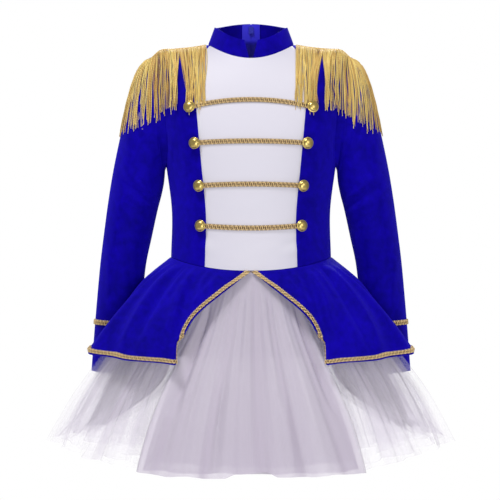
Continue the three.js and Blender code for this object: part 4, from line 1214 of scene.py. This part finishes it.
# The coil's teeth lie between the two tapes, from the slider down, on a core.
middle, normal = zip_surface.place(1.0, np.linspace(0.06, 6.2, 900), -2.15)
coil = Strip(middle, np.tile([1.0, 0, 0], (900, 1)), normal)
s = np.arange(0, coil.length, TOOTH_PITCH)
centre, across, normal = coil.at(s)
odd = np.where(np.arange(len(s)) % 2 == 0, 1, -1)[:, None]
centre[:, 0] = 0.0
core_path = [(centre[::8] - unit(normal[::8]) * 0.3, 0.9, 0.5)]
piece = repeats("zip_coil", centre + odd * across * 0.5, odd * across, unit(normal), (2.2, 0.95, 0.9), COIL)
absorb(piece, cords("zip_core", core_path, COIL, 6))
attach(piece, "dress")

# Stitches that hold the tapes, a row down each side of the zip.
places = []
for sign in (1, -1):
    edge, normal = zip_surface.place(4.2, np.linspace(1.1, 6.2, 900), 0.1)
    lane = Strip(edge, np.zeros_like(edge), normal)
    s = np.arange(2, lane.length - 2, STITCH_PITCH)
    flip = np.array([sign, 1, 1])
    here = lane.at(s)
    ahead = lane.at(s + 0.5)
    places.append([here[0] * flip, unit(ahead[0] - here[0]) * flip, unit(here[2]) * flip])
points, along, normals = (np.concatenate(parts) for parts in zip(*places))
piece = repeats("zip_stitches", points, along, normals, (2.5, 0.5, 0.4), THREAD)
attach(piece, "dress")

# The slider and its pull keep the solids' shape.
for name in ("zip_slider", "zip_pull"):
    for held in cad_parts[name].material_slots:
        held.material = ENAMEL


# The cut of each sheet: width and length in metres, how it is held, and its area where not a rectangle.
CUTS = {
    "front_panel": ((0.155, 0.27), "stretched", 0.0375),
    "side_front": ((0.1, 0.29), "stretched", 0.0215),
    "back": ((0.185, 0.3), "stretched", 0.0425),
    "sleeve": ((0.26, 0.42), "hung", 0.072),
    "collar": ((0.145, 0.026), "stretched", None),
    "peplum": ((0.6, 0.3), "gathered", 0.0625),
    "tulle_outer": ((1.45, 0.28), "gathered", None),
    "tulle_middle": ((1.35, 0.27), "gathered", None),
    "tulle_under": ((1.25, 0.26), "gathered", None),
    "zip_tape": ((0.0125, 0.32), "stretched", None),
}


for name, piece in made.items():
    flat, held, area = CUTS[name.removesuffix("_left").removesuffix("_right")]


# Area lights: place, the height they look at, size in metres and watts.
LIGHTS = {
    "key": ((-0.9, -1.4, 2.4), -0.25, 0.7, 56),
    "fill": ((1.4, -2.4, 0.3), -0.25, 1.2, 12),
    "low": ((0.2, -2.4, -0.8), -0.4, 1.0, 14),
    "rim": ((0.4, 2.0, 1.3), -0.2, 1.2, 22),
}
for name, (place, height, size, power) in LIGHTS.items():
    light = bpy.data.lights.new(name, "AREA")
    light.size = size
    light.energy = power
    lamp = bpy.data.objects.new(name, light)
    lamp.location = place
    lamp.rotation_euler = (Vector((0, 0, height)) - Vector(place)).to_track_quat("-Z", "Y").to_euler()
    scene.collection.objects.link(lamp)

# Pale floor well below the hem, at a child's feet.
bpy.ops.mesh.primitive_circle_add(vertices=64, radius=1.6, fill_type="NGON", location=(0, 0, -1.02))
floor = bpy.context.object
floor.name = "floor"
floor.data.materials.append(new_material("floor_white", Base_Color=linear("f4f4f6"), Roughness=0.8)[0])

ROOM_LIGHT = 0.38
world = bpy.data.worlds.new("white_room")
scene.world = world
world.use_nodes = True
# Seen directly the room is pure white; as light it is softer, so that the folds keep their shade.
sky = world.node_tree
path = node(sky, "ShaderNodeLightPath")
seen = ranged(sky, path.outputs["Is Camera Ray"], 0.0, 1.0, ROOM_LIGHT, 1.0)
sky.links.new(seen, sky.nodes["Background"].inputs["Strength"])
sky.nodes["Background"].inputs["Color"].default_value = (1, 1, 1, 1)

# The photo's view: level, so far away and so wide across the picture, in metres.
CAMERA_AWAY = 3.0
PICTURE_WIDTH = 0.6385
lens = bpy.data.cameras.new("camera")
lens.sensor_width = 36
lens.lens = lens.sensor_width * CAMERA_AWAY / PICTURE_WIDTH
camera = bpy.data.objects.new("camera", lens)
camera.location = (-0.0013, -CAMERA_AWAY, -0.2554)
camera.rotation_euler = (math.pi / 2, 0, 0)
scene.collection.objects.link(camera)
scene.camera = camera
scene.view_settings.view_transform = "Standard"
